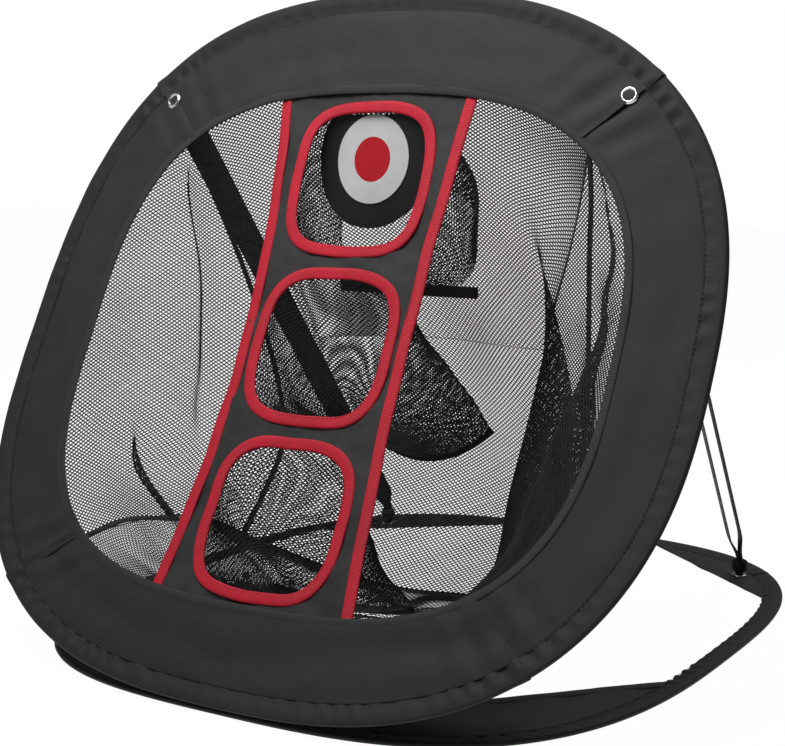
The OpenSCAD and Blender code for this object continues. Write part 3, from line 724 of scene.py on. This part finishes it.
# Base ring
baseCorner = math.degrees(math.atan2(base["depth"], base["width"]))
baseSides = {"front": (-180 + baseCorner, -baseCorner), "rear": (baseCorner, 180 - baseCorner),
             "left": (180 - baseCorner, 180 + baseCorner), "right": (-baseCorner, baseCorner)}
baseSleeve = {"thick": 0.0024, "middle": 0.0025, "seam": 0.0034, "steps": 260, "gather": 0.016, "lap": 0.8}
for k, (side, (low, high)) in enumerate(baseSides.items()):
    lap = baseSleeve["lap"] if side in ("front", "rear") else 0.0
    angle = np.linspace(low - lap, high + lap, baseSleeve["steps"])
    a, inset = np.meshgrid(angle, fromFold(0.018), indexing="ij")
    spine = basePoint(a, sleeve["spine"])
    arc = lengthsAlong(basePoint(angle, sleeve["spine"]))[:, None]
    pucker = 0.35 + 0.9 * smooth(ripple(spine, 0.11, 91 + k), -0.3, 0.6)
    gather = pucker * np.sin(arc * 2 * math.pi / baseSleeve["gather"] + 3 * ripple(spine, 0.08, 81 + k))
    if side == "front":
        gather = gather * (1 - 0.8 * endCloseness(a, (-90, -90), 30))
    half = sleeveHalf(inset, baseSleeve["thick"])
    near = smooth(inset, 0.003, 0.011)
    top = baseSleeve["middle"] + half + 0.0005 * gather * near
    if lap:
        top = top + 0.0004 * endCloseness(a, (low - lap, high + lap), 2)
    top = top - 0.0005 * np.exp(-((inset - border["seam"]) / 0.0009) ** 2)
    under = np.maximum(baseSleeve["middle"] - half * 0.98 + 0.0003 * gather * near, 0.00005)
    top = np.clip(top, under + 0.0006, 0.0052 if side == "front" else 0.0058)
    xy = basePoint(a, inset + 0.0006 * gather * smooth(inset, 0.014, 0.018))
    faces = [atHeight(xy, z) for z in (top, under)]
    place(slab(side + "_base_sleeve_cloth", *faces, sleeveCloth), "base", "sleeve_cloth", side + "_base_sleeve")
    line = atHeight(basePoint(np.linspace(low, high, 140), border["seam"]), baseSleeve["seam"])
    sewn["base_stitches"].append((line, np.tile([0.0, 0.0, 1.0], (140, 1))))
makeStitches("base_stitches")

gusset = {"rear": (34, 75), "front": (-80, -17), "rim": 0.0165, "z": 0.0025, "thick": 0.001, "steps": 60,
          "columns": 24, "hem": 0.011, "hemThick": 0.0026, "hemSteps": 50, "seam": 0.0012}


def gussetGrid(low, high, sign):
    rim = basePoint(np.linspace(low, high, gusset["steps"]), gusset["rim"])
    a, b = rim[0], rim[-1]
    share = (rim - a) @ (b - a) / ((b - a) @ (b - a))
    chord = mix(a, b, np.clip(share, 0, 1)[:, None])
    xy = mix(rim[:, None], chord[:, None], np.linspace(0, 1, gusset["columns"])[None, :, None])
    return xy * [sign, 1], chord * [sign, 1]


for row in ("rear", "front"):
    for side, sign in handed.items():
        xy, chord = gussetGrid(*gusset[row], sign)
        share = np.linspace(0, 1, gusset["columns"])[None]
        billow = 0.0010 * ripple(xy, 0.09, 101 + sign) + 0.0005 * ripple(xy, 0.03, 105 + sign)
        z = np.clip(gusset["z"] + billow * np.sin(share * math.pi * 0.75), 0.0007, 0.0042)
        faces = [atHeight(xy, z + part * gusset["thick"] / 2) for part in (1, -1)]
        piece = slab(f"{row}_{side}_gusset_cloth", *faces, borderCloth)
        place(piece, "base", "border_cloth", f"{row}_{side}_gusset")
        ends = chord[[2, -3]]
        line = mix(*ends, np.linspace(0, 1, gusset["hemSteps"])[:, None])
        way = unit(ends[1] - ends[0])
        inward = np.array([-way[1], way[0]])
        if inward @ (xy[30, 0] - xy[30, -1]) < 0:
            inward = -inward
        hem = atHeight(line, gusset["z"] + 0.0002)
        inward = np.tile([*inward, 0.0], (len(line), 1))
        up = np.tile([0.0, 0.0, 1.0], (len(line), 1))
        rings = tapeRings(hem, inward, up, gusset["hem"], gusset["hemThick"], 0.0003 * ripple(line, 0.05, 111), 0.1)
        place(loft(f"{row}_{side}_gusset_hem", rings, sleeveCloth), "base", "border_cloth")
        seam = gusset["seam"]
        sewn["gusset_stitches"].append((hem + inward * (gusset["hem"] - seam) + up * seam, up))
makeStitches("gusset_stitches")
print("base made")

# Eyelets
eyelet = {"outer": 0.0150, "bore": 0.0080, "inset": 0.029, "steps": 56, "panelGrip": 0.0022, "baseGrip": 0.0012}


def makeEyelet(name, centre, across, up, out, grip, body):
    # A rolled steel eyelet: a rounded rim in front and a washer behind
    r0, r1, h = eyelet["bore"] / 2, eyelet["outer"] / 2, grip / 2
    section = np.array([
        (r0, -h - 0.0005), (r0, 0), (r0 + 0.0001, h + 0.0002), (r0 + 0.0006, h + 0.0009), (r0 + 0.0015, h + 0.0012),
        (r0 + 0.0024, h + 0.0009), (r1 - 0.0003, h + 0.0002), (r1, h - 0.0001), (r1 - 0.0004, h - 0.0003),
        (r0 + 0.0012, h - 0.0002), (r0 + 0.0006, 0), (r0 + 0.0012, -h + 0.0001),
        (r1 - 0.0002, -h - 0.0001), (r1 - 0.0002, -h - 0.0006)])
    turn = fullTurn(eyelet["steps"])[:, None, None]
    way = np.cos(turn) * across + np.sin(turn) * up
    rings = centre + way * section[None, :, :1] + out * section[None, :, 1:]
    place(loft(name + "_ring", rings, eyeletSteel, closed=True), body, "eyelet", name)


for side, sign in handed.items():
    flat = panelPoint(panel["mitre"], eyelet["inset"]) * [sign, 1]
    across = unit(onPanel(flat + [0.001, 0]) - onPanel(flat - [0.001, 0]))
    out = normalsOn(flat, 0.0)
    up = np.cross(out, across)
    makeEyelet(f"top_{side}_eyelet", onPanel(flat), across, up, out, eyelet["panelGrip"], "panel")
    foot = np.append(basePoint(baseCorner, eyelet["inset"]) * [sign, 1], 0.0025)
    makeEyelet(f"rear_{side}_eyelet", foot, *np.eye(3), eyelet["baseGrip"], "base")

# Straps
strap = {"width": 0.027, "thick": 0.0012, "gap": 0.011, "turn": math.radians(61), "hitch": 0.026, "end": 0.005,
         "far": 0.97, "steps": 90, "bend": 14, "columns": 13}
cord = {"turns": 2.2, "wide": 0.0064, "deep": 0.0058, "height": 0.0048, "climb": 0.00022, "radius": 0.0009}
strapTop = onPanel(panelPoint(panel["mitre"], eyelet["inset"]), backOf["net"] - 0.003)
strapFoot = np.append(basePoint(baseCorner, eyelet["inset"]), 0.0038)


def strapRing(f, turn):
    across = np.array([-math.cos(strap["turn"]), math.sin(strap["turn"]), 0])
    foot = strapFoot + [0, 0, strap["hitch"] * 0.6]
    along = unit(strapTop - foot)
    off = unit(np.cross(across, along))
    spread = smooth(f, 0, 1 / 15)
    half = mix(strap["end"], strap["width"] / 2, spread)
    reach = mix(strap["thick"] * 0.75, strap["gap"] / 2, spread)
    out = math.sin(turn) * off + math.cos(turn) * along
    centre = mix(foot, strapTop, f) + out * reach
    x = np.linspace(-1, 1, strap["columns"])
    pleat = (1 - spread) * 0.0012 * np.cos(x * 9)
    thick = strap["thick"] / 2 * (1 - 0.4 * np.abs(x) ** 6)
    upper, lower = [centre + np.outer(x * half, across) + np.outer(part * thick + pleat, out) for part in (1, -1)]
    return np.concatenate([upper, lower[::-1]])


quarter = math.pi / 2
rings = [strapRing(f, -quarter) for f in np.linspace(0, strap["far"], strap["steps"])]
rings += [strapRing(strap["far"], turn) for turn in np.linspace(-quarter, quarter, strap["bend"])[1:-1]]
rings += [strapRing(f, quarter) for f in np.linspace(strap["far"], 0, strap["steps"])]

# The strap's gathered end: pleats drawn in to the eyelet, with two turns of cord round them
turn = fullTurn(60)
pleats = ((0.0046, -0.0026), (0.0042, -0.0004), (0.0040, 0.0016), (0.0056, 0.0042), (0.0072, 0.0078),
          (0.0070, 0.0112), (0.0060, 0.0140), (0.0024, 0.0152))
hitch = []
for radius, height in through(pleats, 26):
    r = radius * (1 + 0.10 * np.cos(turn * 7 + height * 300) + 0.05 * np.cos(turn * 3))
    r = np.minimum(r, 0.0036) if height < 0.0012 else r
    hitch.append(np.stack([r * np.cos(turn), r * np.sin(turn) * 0.9, np.full_like(turn, height)], -1) + strapFoot)
coil = np.linspace(0, 2 * math.pi * cord["turns"], 90)
line = [cord["wide"] * np.cos(coil), cord["deep"] * np.sin(coil), cord["height"] + coil * cord["climb"]]
line = np.stack(line, -1) + strapFoot
tube = fullTurn(8)[None, :, None]
outWay = np.stack([np.cos(coil), np.sin(coil), np.zeros_like(coil)], -1)[:, None]
wrap = line[:, None] + cord["radius"] * (np.cos(tube) * outWay + np.sin(tube) * np.array([0, 0, 1.0]))

for side, sign in handed.items():
    mirror = np.array([sign, 1, 1])
    piece = loft(side + "_strap_webbing", rings * mirror, webbing)
    crease(piece, 60)
    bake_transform(piece)
    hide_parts(side + "_strap")
    place(loft(side + "_hitch_webbing", hitch * mirror, webbing), "base", "webbing", side + "_strap_hitch")
    place(loft(side + "_hitch_cord", wrap * mirror, webbing), "base", "webbing")
print("straps made")

# Nets
bagMesh = {"pitch": 0.0050, "step": 0.0017, "yarn": 0.00061}
openMesh = {"pitch": 0.0058, "step": 0.0020, "yarn": 0.00050}
# Rows and columns of each net's grid
cells = {"right": (96, 76), "left": (96, 90), "rear": (120, 91), "floor": (80, 71), "pocket": (60, 121)}


def netNodes():
    # Round yarn along every line of the net
    group, given, out = groupWith("net_yarns", {"Yarn Radius": bagMesh["yarn"]})
    curve, tube = newNodes(group, "GeometryNodeMeshToCurve", "GeometryNodeCurveToMesh")
    profile = addNode(group, "GeometryNodeCurvePrimitiveCircle", Resolution=3)
    tube.inputs["Fill Caps"].default_value = True
    wire(group, (given.outputs["Geometry"], curve.inputs[0]), (curve.outputs[0], tube.inputs["Curve"]),
         (given.outputs["Yarn Radius"], profile.inputs["Radius"]), (profile.outputs[0], tube.inputs["Profile Curve"]))
    return finishGroup(group, out, tube.outputs[0], netYarn)


netGroup = netNodes()


def gridAt(grid, f, g):
    # Bilinear look-up in a grid of points, f down its rows and g across
    n, m = grid.shape[:2]
    y, x = np.clip(f, 0, 1) * (n - 1), np.clip(g, 0, 1) * (m - 1)
    i, j = np.minimum(y.astype(int), n - 2), np.minimum(x.astype(int), m - 2)
    a, b = (y - i)[..., None], (x - j)[..., None]
    return mix(mix(grid[i, j], grid[i + 1, j], a), mix(grid[i, j + 1], grid[i + 1, j + 1], a), b)


def yarnNet(name, grid, net):
    # Two sets of straight slanting yarns, and one down each edge. They are laid out flat, each row of
    # the grid at its own width about the middle line, and then carried onto the grid.
    rows = np.linalg.norm(np.diff(grid, axis=1), axis=-1)
    widths = rows.sum(1)
    step = np.linalg.norm(np.diff(grid, axis=0), axis=-1).mean(1)
    height = np.concatenate([[0], np.cumsum(step)])
    across = np.concatenate([np.zeros((len(grid), 1)), np.cumsum(rows, 1)], 1) - widths[:, None] / 2
    pitch = net["pitch"]
    levels = np.linspace(0, height[-1], round(height[-1] / net["step"]) + 1)
    slant = np.arange(len(levels)) * pitch / 2
    far = int(widths.max() / 2 / pitch) + len(levels) // 2 + 1
    start = np.arange(-far, far + 1)[:, None] * pitch
    selvage = np.interp(levels, height, widths) / 2
    x = np.concatenate([start + slant, start - slant, selvage[None], -selvage[None]])
    row = np.interp(levels, height, np.arange(len(grid)))
    k = np.minimum(row.astype(int), len(grid) - 2)
    part = row - k
    inside = np.abs(x) <= mix(widths[k], widths[k + 1], part) / 2 + pitch / 2
    slots = np.linspace(0, 1, grid.shape[1])
    own = mix(across[k], across[k + 1], part[:, None])
    share = np.stack([np.interp(x[:, level], own[level], slots) for level in range(len(levels))], 1)
    points = gridAt(grid, np.broadcast_to(row / (len(grid) - 1), x.shape), share)
    index = np.arange(x.size).reshape(x.shape)
    keep = inside[:, :-1] & inside[:, 1:]
    edges = np.stack([index[:, :-1][keep], index[:, 1:][keep]], -1)
    used = np.zeros(x.size, bool)
    used[edges.ravel()] = True
    renumber = np.cumsum(used) - 1
    mesh = bpy.data.meshes.new(name)
    mesh.vertices.add(int(used.sum()))
    mesh.vertices.foreach_set("co", points.reshape(-1, 3)[used].astype(np.float32).ravel())
    mesh.edges.add(len(edges))
    mesh.edges.foreach_set("vertices", renumber[edges].astype(np.int32).ravel())
    mesh.update()
    piece = runNodes(newObject(name, mesh, None), netGroup, {"Yarn Radius": net["yarn"]}, netYarn)
    return piece, float((widths[:-1] + widths[1:]) @ step / 2)


def windowRim(angle):
    return onPanel(windowPoint(angle, -0.0055), backOf["net"])


def loftRows(paths, rows, columns):
    # A grid of points through paths of points: each path runs down, and they follow on across
    lines = np.array([through(path, rows) for path in paths])
    return np.array([through(lines[:, r], columns) for r in range(rows)])


def hemTape(name, line, out, width, thick):
    way = unit(np.gradient(line, axis=0))
    side = unit(np.cross(way, out))
    rings = tapeRings(line - side * width / 2, side, unit(np.cross(side, way)), width, thick, lip=0)
    return loft(name, rings, bindingTape)


def swell(count):
    # From 0 up to 1 in the middle and back
    return np.sin(np.linspace(0, 1, count) * math.pi)


def offGround(grid, least):
    grid[..., 2] = np.maximum(grid[..., 2], least)


def mm(*points):
    # Points written in millimetres
    return np.array(points, float) / 1000


down = np.linspace(0, 1, 9)
rimRight, rimLeft = windowRim(mix(42, -45, down)), windowRim(mix(138, 225, down))
# The seams and the right fold, from the window's rim down to the ground
seamRight = np.concatenate([rimRight[:1], mm(
    (178, 236, 380), (162, 250, 335), (143, 264, 290), (124, 278, 236), (104, 292, 180), (80, 308, 116),
    (62, 322, 58), (42, 336, 14))])
bulgeRight = np.concatenate([rimRight[:1], mm(
    (189, 230, 378), (184, 240, 338), (181, 247, 294), (177, 256, 245), (170, 268, 190), (152, 290, 122),
    (124, 312, 62), (92, 330, 9))])
seamLeft = np.concatenate([rimLeft[:1], mm(
    (-188, 238, 378), (-180, 256, 335), (-170, 270, 290), (-160, 282, 240), (-151, 289, 190), (-145, 285, 144),
    (-157, 271, 98), (-167, 250, 60))])
print("nets started")

# The right net: from the window's side, in a pleat, back to the fold that the rear net tucks into.
# Each path lies at a share of the way to the seam, and is moved across, back and up, in millimetres.
lowered = (0, 0, 0, 0, 0, 0, -4, -8, -10)
rightMoves = {0.3: ((0, 0, 0, 0, -10, -22, -26, -26, -22), (0, 0, 0, 0, 4, 10, 14, 16, 16), lowered),
              0.42: ((0, 2, 4, 6, 14, 26, 32, 30, 22), (0, 0, 0, 0, -4, -8, -10, -10, -8), lowered),
              0.5: ((0, 4, 8, 10, 8, 4, 4, 6, 8), (0, 0, 2, 4, 4, 4, 6, 8, 8), (0, 0, 0, 0, 0, 0, 0, -4, -10))}
rightPaths = [mix(rimRight, seamRight, share) + mm(*moves).T for share, moves in rightMoves.items()]
rows, columns = cells["right"]
rightGrid = loftRows([rimRight, *rightPaths, seamRight], rows, columns)
rightGrid += swell(columns)[None, :, None] * 0.003 * ripple(rightGrid, 0.05, 201)[..., None] * np.array([1, 0.3, 0])
offGround(rightGrid, 0.0018)


def creaseShare(level):
    # How far across the left net its lower crease lies, at a level from the rim down
    return mix(0.34, 0.62, np.clip((level - 0.72) / 0.28, 0, 1) ** 1.3)


# The left net: its hem runs back at knee height to the knot where the seam ends
leftPaths = [rimLeft]
for t, foot in zip((0.27, 0.53, 0.77), mm((-184, 108, 101), (-181, 160, 92), (-172, 207, 80))):
    path = mix(rimLeft, seamLeft, t)
    bulge = np.array([0.012, 0, 0]) * np.sin(down * math.pi)[:, None]
    leftPaths.append(path + (foot - path[-1]) * down[:, None] ** 4 - bulge)
rows, columns = cells["left"]
leftGrid = loftRows(leftPaths + [seamLeft], rows, columns)
t, level = np.linspace(0, 1, columns)[None], np.linspace(0, 1, rows)[:, None]
foldAt = 0.77 - 0.13 * smooth(level, 0.25, 0.75)
fold = 0.011 * np.exp(-((t - foldAt) / 0.042) ** 2) * smooth(level, 0.03, 0.15) * (1 - smooth(level, 0.66, 0.80))
creased = 0.016 * np.exp(-((t - creaseShare(level)) / 0.034) ** 2) * smooth(level, 0.70, 0.85)
leftGrid[..., 0] += -fold - creased + 0.0030 * swell(columns) * ripple(leftGrid * [0.5, 2.0, 0.7], 0.09, 203)
leftGrid[..., 1] += 0.4 * (fold - creased)

rows, columns = cells["rear"]
topRow = windowRim(mix(138, 42, np.linspace(0, 1, columns)))


def rearRow(level, left, far, right):
    # One level of the rear net, from the left seam past the right fold's bulge and back to it
    depth = 0.034 * math.sin(math.pi * min(1, level * 1.1)) + 0.034 * level ** 2
    deep = mix(left, far, 0.5) + [0, depth, -0.026 * level ** 6]
    first = mix(left, deep, 0.5) + [0, 0.012 * level + 0.014 * level ** 4, -0.016 * level ** 6]
    past = mix(deep, far, 0.55) + [0, 0.010 * level, 0]
    tucked = mix(far, right, 0.6) - [0, 0.004, 0]
    return through([left, first, deep, past, far, tucked, right], len(topRow))


rearRows = np.array([rearRow(*row) for row in zip(down, seamLeft, bulgeRight, seamRight)])
rearRows = rearRows + (topRow - rearRows[0]) * (1 - down[:, None, None]) ** 2.4
rearGrid = np.array([through(rearRows[:, c], rows) for c in range(columns)]).transpose(1, 0, 2)
calm = swell(rows)[:, None] ** 0.7 * swell(columns)
rearGrid += calm[..., None] * 0.004 * ripple(rearGrid * [1, 1, 0.6], 0.11, 205)[..., None] * np.array([0.2, 1, 0])
offGround(rearGrid, 0.0022)

# The floor net: from the window's lower arc down to the ground and back to the rear edge
rows, columns = cells["floor"]
lowArc = windowRim(np.linspace(225, 315, columns))
rearFoot = through(rearGrid[-1][:76:3], columns)
f, t = np.linspace(0, 1, rows)[:, None], np.linspace(-1, 1, columns)[None]
arch = np.sin(math.pi * f)
raised = np.clip(-t, 0, 1) ** 2 * 0.034 * arch ** 0.8 + np.clip(t, 0, 1) ** 3 * 0.030 * arch
floorGrid = mix(lowArc, rearFoot, f[..., None])
floorGrid[..., 2] = mix(rearFoot[:, 2], lowArc[:, 2], (1 - f) ** 3.4) + raised
rough = 0.004 + 0.010 * np.exp(-((floorGrid[..., 0] + 0.08) / 0.07) ** 2) * smooth(floorGrid[..., 1], 0.06, 0.10)
wrinkle = rough * arch * np.sin((t + 1) * math.pi / 2)
floorGrid[..., 2] += wrinkle * ripple(floorGrid, 0.045, 207)
floorGrid[..., 1] += wrinkle * 1.2 * ripple(floorGrid, 0.05, 208)
offGround(floorGrid, 0.0018)

netPieces = []


def addNet(name, grid, nodes, net=bagMesh):
    piece, area = yarnNet(name, grid, net)
    place(piece, "panel", "net", *nodes)
    netPieces.append(piece)


rearCut = 60
addNet("bag_left_net_yarn", leftGrid, ["bag_left_net"])
addNet("bag_right_net_yarn", rightGrid, ["bag_right_net"])
addNet("bag_rear_net_upper_yarn", rearGrid[:rearCut + 1], ["bag_rear_net"])
addNet("bag_rear_net_lower_yarn", rearGrid[rearCut:], ["bag_rear_net"])
addNet("bag_floor_net_yarn", floorGrid, ["bag_floor_net"], openMesh)

# The pockets: sleeves of net from each hole to a hemmed end. For each: how far back and down its end
# lies, the end's sag and height, and the fullness of its lower side, its two sides and its upper side
pockets = {
    "top": {"reach": 0.074, "drop": 0.095, "sag": 0.0, "end": 0.088, "belly": 0.0, "full": 0.13, "rise": 0.017},
    "middle": {"reach": 0.160, "drop": 0.104, "sag": 0.026, "end": 0.008, "belly": -0.004, "full": 0.05, "rise": 0.0},
    "bottom": {"reach": 0.096, "drop": 0.090, "sag": 0.006, "end": 0.008, "belly": 0.004, "full": 0.0,
               "rise": -0.010}}
pocketEnds = {}
rows, columns = cells["pocket"]
turn = np.linspace(-90, 270, columns)
wide = hole["size"] / 2 + 0.008
run = np.linspace(0, 1, rows)[:, None]
sink = np.sin(math.pi * run)
hemX = np.linspace(-1.05, 1.05, rows) * wide
for name, shape in pockets.items():
    height = hole["heights"][name]
    middle = onPanel(np.array([0.0, height]), backOf["net"])
    rim = holePoint(turn, height, -0.008)
    up = (rim[:, 1] - height) / wide
    endY = middle[1] + shape["reach"]
    endZ = lambda x: middle[2] - shape["drop"] + shape["sag"] * ((x / wide) ** 2 - 0.5 + 0.10 * x / wide)
    far = [rim[:, 0] * 1.04, np.full(columns, endY), endZ(rim[:, 0]) + shape["end"] * (0.5 + 0.5 * up)]
    far = np.stack(far, -1)
    grid = mix(onPanel(rim, backOf["net"]), far, run[..., None])
    grid[..., 2] -= shape["belly"] * sink
    grid[..., 1] += shape["rise"] * sink * smooth(up, -0.5, 0.5)
    grid[..., 0] *= 1 + shape["full"] * sink * (0.5 + 0.5 * np.cos(np.radians(turn)) ** 2)
    grid += (sink * 0.0018)[..., None] * ripple(grid, 0.075, 211)[..., None] * np.array([1.0, 0.6, 0.8])
    offGround(grid, 0.003)
    addNet(name + "_pocket_yarn", grid, [name + "_pocket"], openMesh)
    pocketEnds[name] = np.stack([hemX, np.full(rows, endY), endZ(hemX)], -1)
print("pockets made")

# Seam and hem tapes of the bag and the pockets: line, width, thickness and the CAD node replaced
creaseDown = np.linspace(0.76, 1, 30)
creaseLine = gridAt(leftGrid, creaseDown, creaseShare(creaseDown)) - [0.002, 0.001, 0]
tapes = {"bag_right_seam_tape": (through(bulgeRight, 90)[2:70], 0.0042, 0.0022),
         "bag_left_seam_tape": (through(seamLeft, 90)[3:], 0.0052, 0.0022),
         "bag_left_hem_tape": (leftGrid[-1], 0.0048, 0.0024), "bag_left_fold_tape": (creaseLine, 0.0030, 0.0020),
         "bag_right_hem_tape": (rightGrid[-1], 0.0046, 0.0020),
         "bag_rear_hem_tape": (rearGrid[-1] + [0, 0, 0.0012], 0.0046, 0.0020, "bag_hem"),
         "top_pocket_hem": (pocketEnds["top"], 0.0100, 0.0036),
         "middle_pocket_hem": (pocketEnds["middle"], 0.0056, 0.0030),
         "bottom_pocket_hem": (pocketEnds["bottom"], 0.0070, 0.0034)}
for name, (line, width, thick, *nodes) in tapes.items():
    outward = [0.0, 1.0, 0.05] if "pocket" in name or "seam" in name else [0.4, 0.6, 0.5]
    piece = hemTape(name, line, np.tile(outward, (len(line), 1)), width, thick)
    place(piece, "panel", "black_cloth", *nodes)
    netPieces.append(piece)
for piece in netPieces:
    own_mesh(piece)
print("nets made")

# CAD nodes that stay
for node, material in (("base_wire", springSteel), ("panel_wire", springSteel), ("base_ferrule", ferruleSteel),
                       ("panel_ferrule", ferruleSteel), ("hinge_tape", borderCloth)):
    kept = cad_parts[node]
    kept.data.materials.clear()
    kept.data.materials.append(material)

# Floor, light and background
def whereSeen(tree, unseen, seen, output, *rays):
    # The seen shader for the two kinds of ray that look at a thing, the unseen one for the light it gives
    path, either, choose = newNodes(tree, "ShaderNodeLightPath", "ShaderNodeMath", "ShaderNodeMixShader")
    either.operation = "MAXIMUM"
    wire(tree, *[(path.outputs[ray], socket) for ray, socket in zip(rays, either.inputs)],
         (either.outputs[0], choose.inputs[0]), (unseen, choose.inputs[1]), (seen, choose.inputs[2]),
         (choose.outputs[0], output))


white = (1, 1, 1, 1)
scene = bpy.context.scene
scene.view_settings.view_transform = "Standard"
world = bpy.data.worlds.new("studio")
scene.world = world
world.use_nodes = True
tree = world.node_tree
tree.nodes.clear()
seen, lightFrom = [addNode(tree, "ShaderNodeBackground", Color=white, Strength=power) for power in (1.0, 0.12)]
output = addNode(tree, "ShaderNodeOutputWorld")
whereSeen(tree, lightFrom.outputs[0], seen.outputs[0], output.inputs[0], "Is Camera Ray", "Is Transmission Ray")

floorMaterial, tree, principled = shader("floor_paint", (0.22, 0.22, 0.22), 0.9, specular=0.1)
plain = addNode(tree, "ShaderNodeBsdfDiffuse", Color=(0.07, 0.07, 0.07, 1))
glow, both = addNode(tree, "ShaderNodeEmission", Strength=0.97), addNode(tree, "ShaderNodeAddShader")
wire(tree, (plain.outputs[0], both.inputs[0]), (glow.outputs[0], both.inputs[1]))
surface = tree.nodes["Material Output"].inputs["Surface"]
whereSeen(tree, principled.outputs[0], both.outputs[0], surface, "Is Camera Ray", "Is Glossy Ray")
mesh = bpy.data.meshes.new("floor")
mesh.from_pydata([(-6, -6, -0.0006), (6, -6, -0.0006), (6, 6, -0.0006), (-6, 6, -0.0006)], [], [(0, 1, 2, 3)])
floor = newObject("floor", mesh, floorMaterial)

# Each lamp's place, size and power
lamps = {"key": ((-0.12, -0.20, 1.20), 0.6, 10.5), "fill": ((-1.8, -0.5, 1.7), 1.3, 4),
         "back": ((0.3, 1.6, 1.8), 1.4, 11)}
for name, (spot, size, power) in lamps.items():
    data = bpy.data.lights.new(name, "AREA")
    data.size, data.energy = size, power
    lamp = bpy.data.objects.new(name, data)
    lamp.location = spot
    aim = np.array([0, 0.15, 0.25]) - np.array(spot)
    lamp.rotation_mode = "QUATERNION"
    lamp.rotation_quaternion = Vector(aim).to_track_quat("-Z", "Y")
    scene.collection.objects.link(lamp)

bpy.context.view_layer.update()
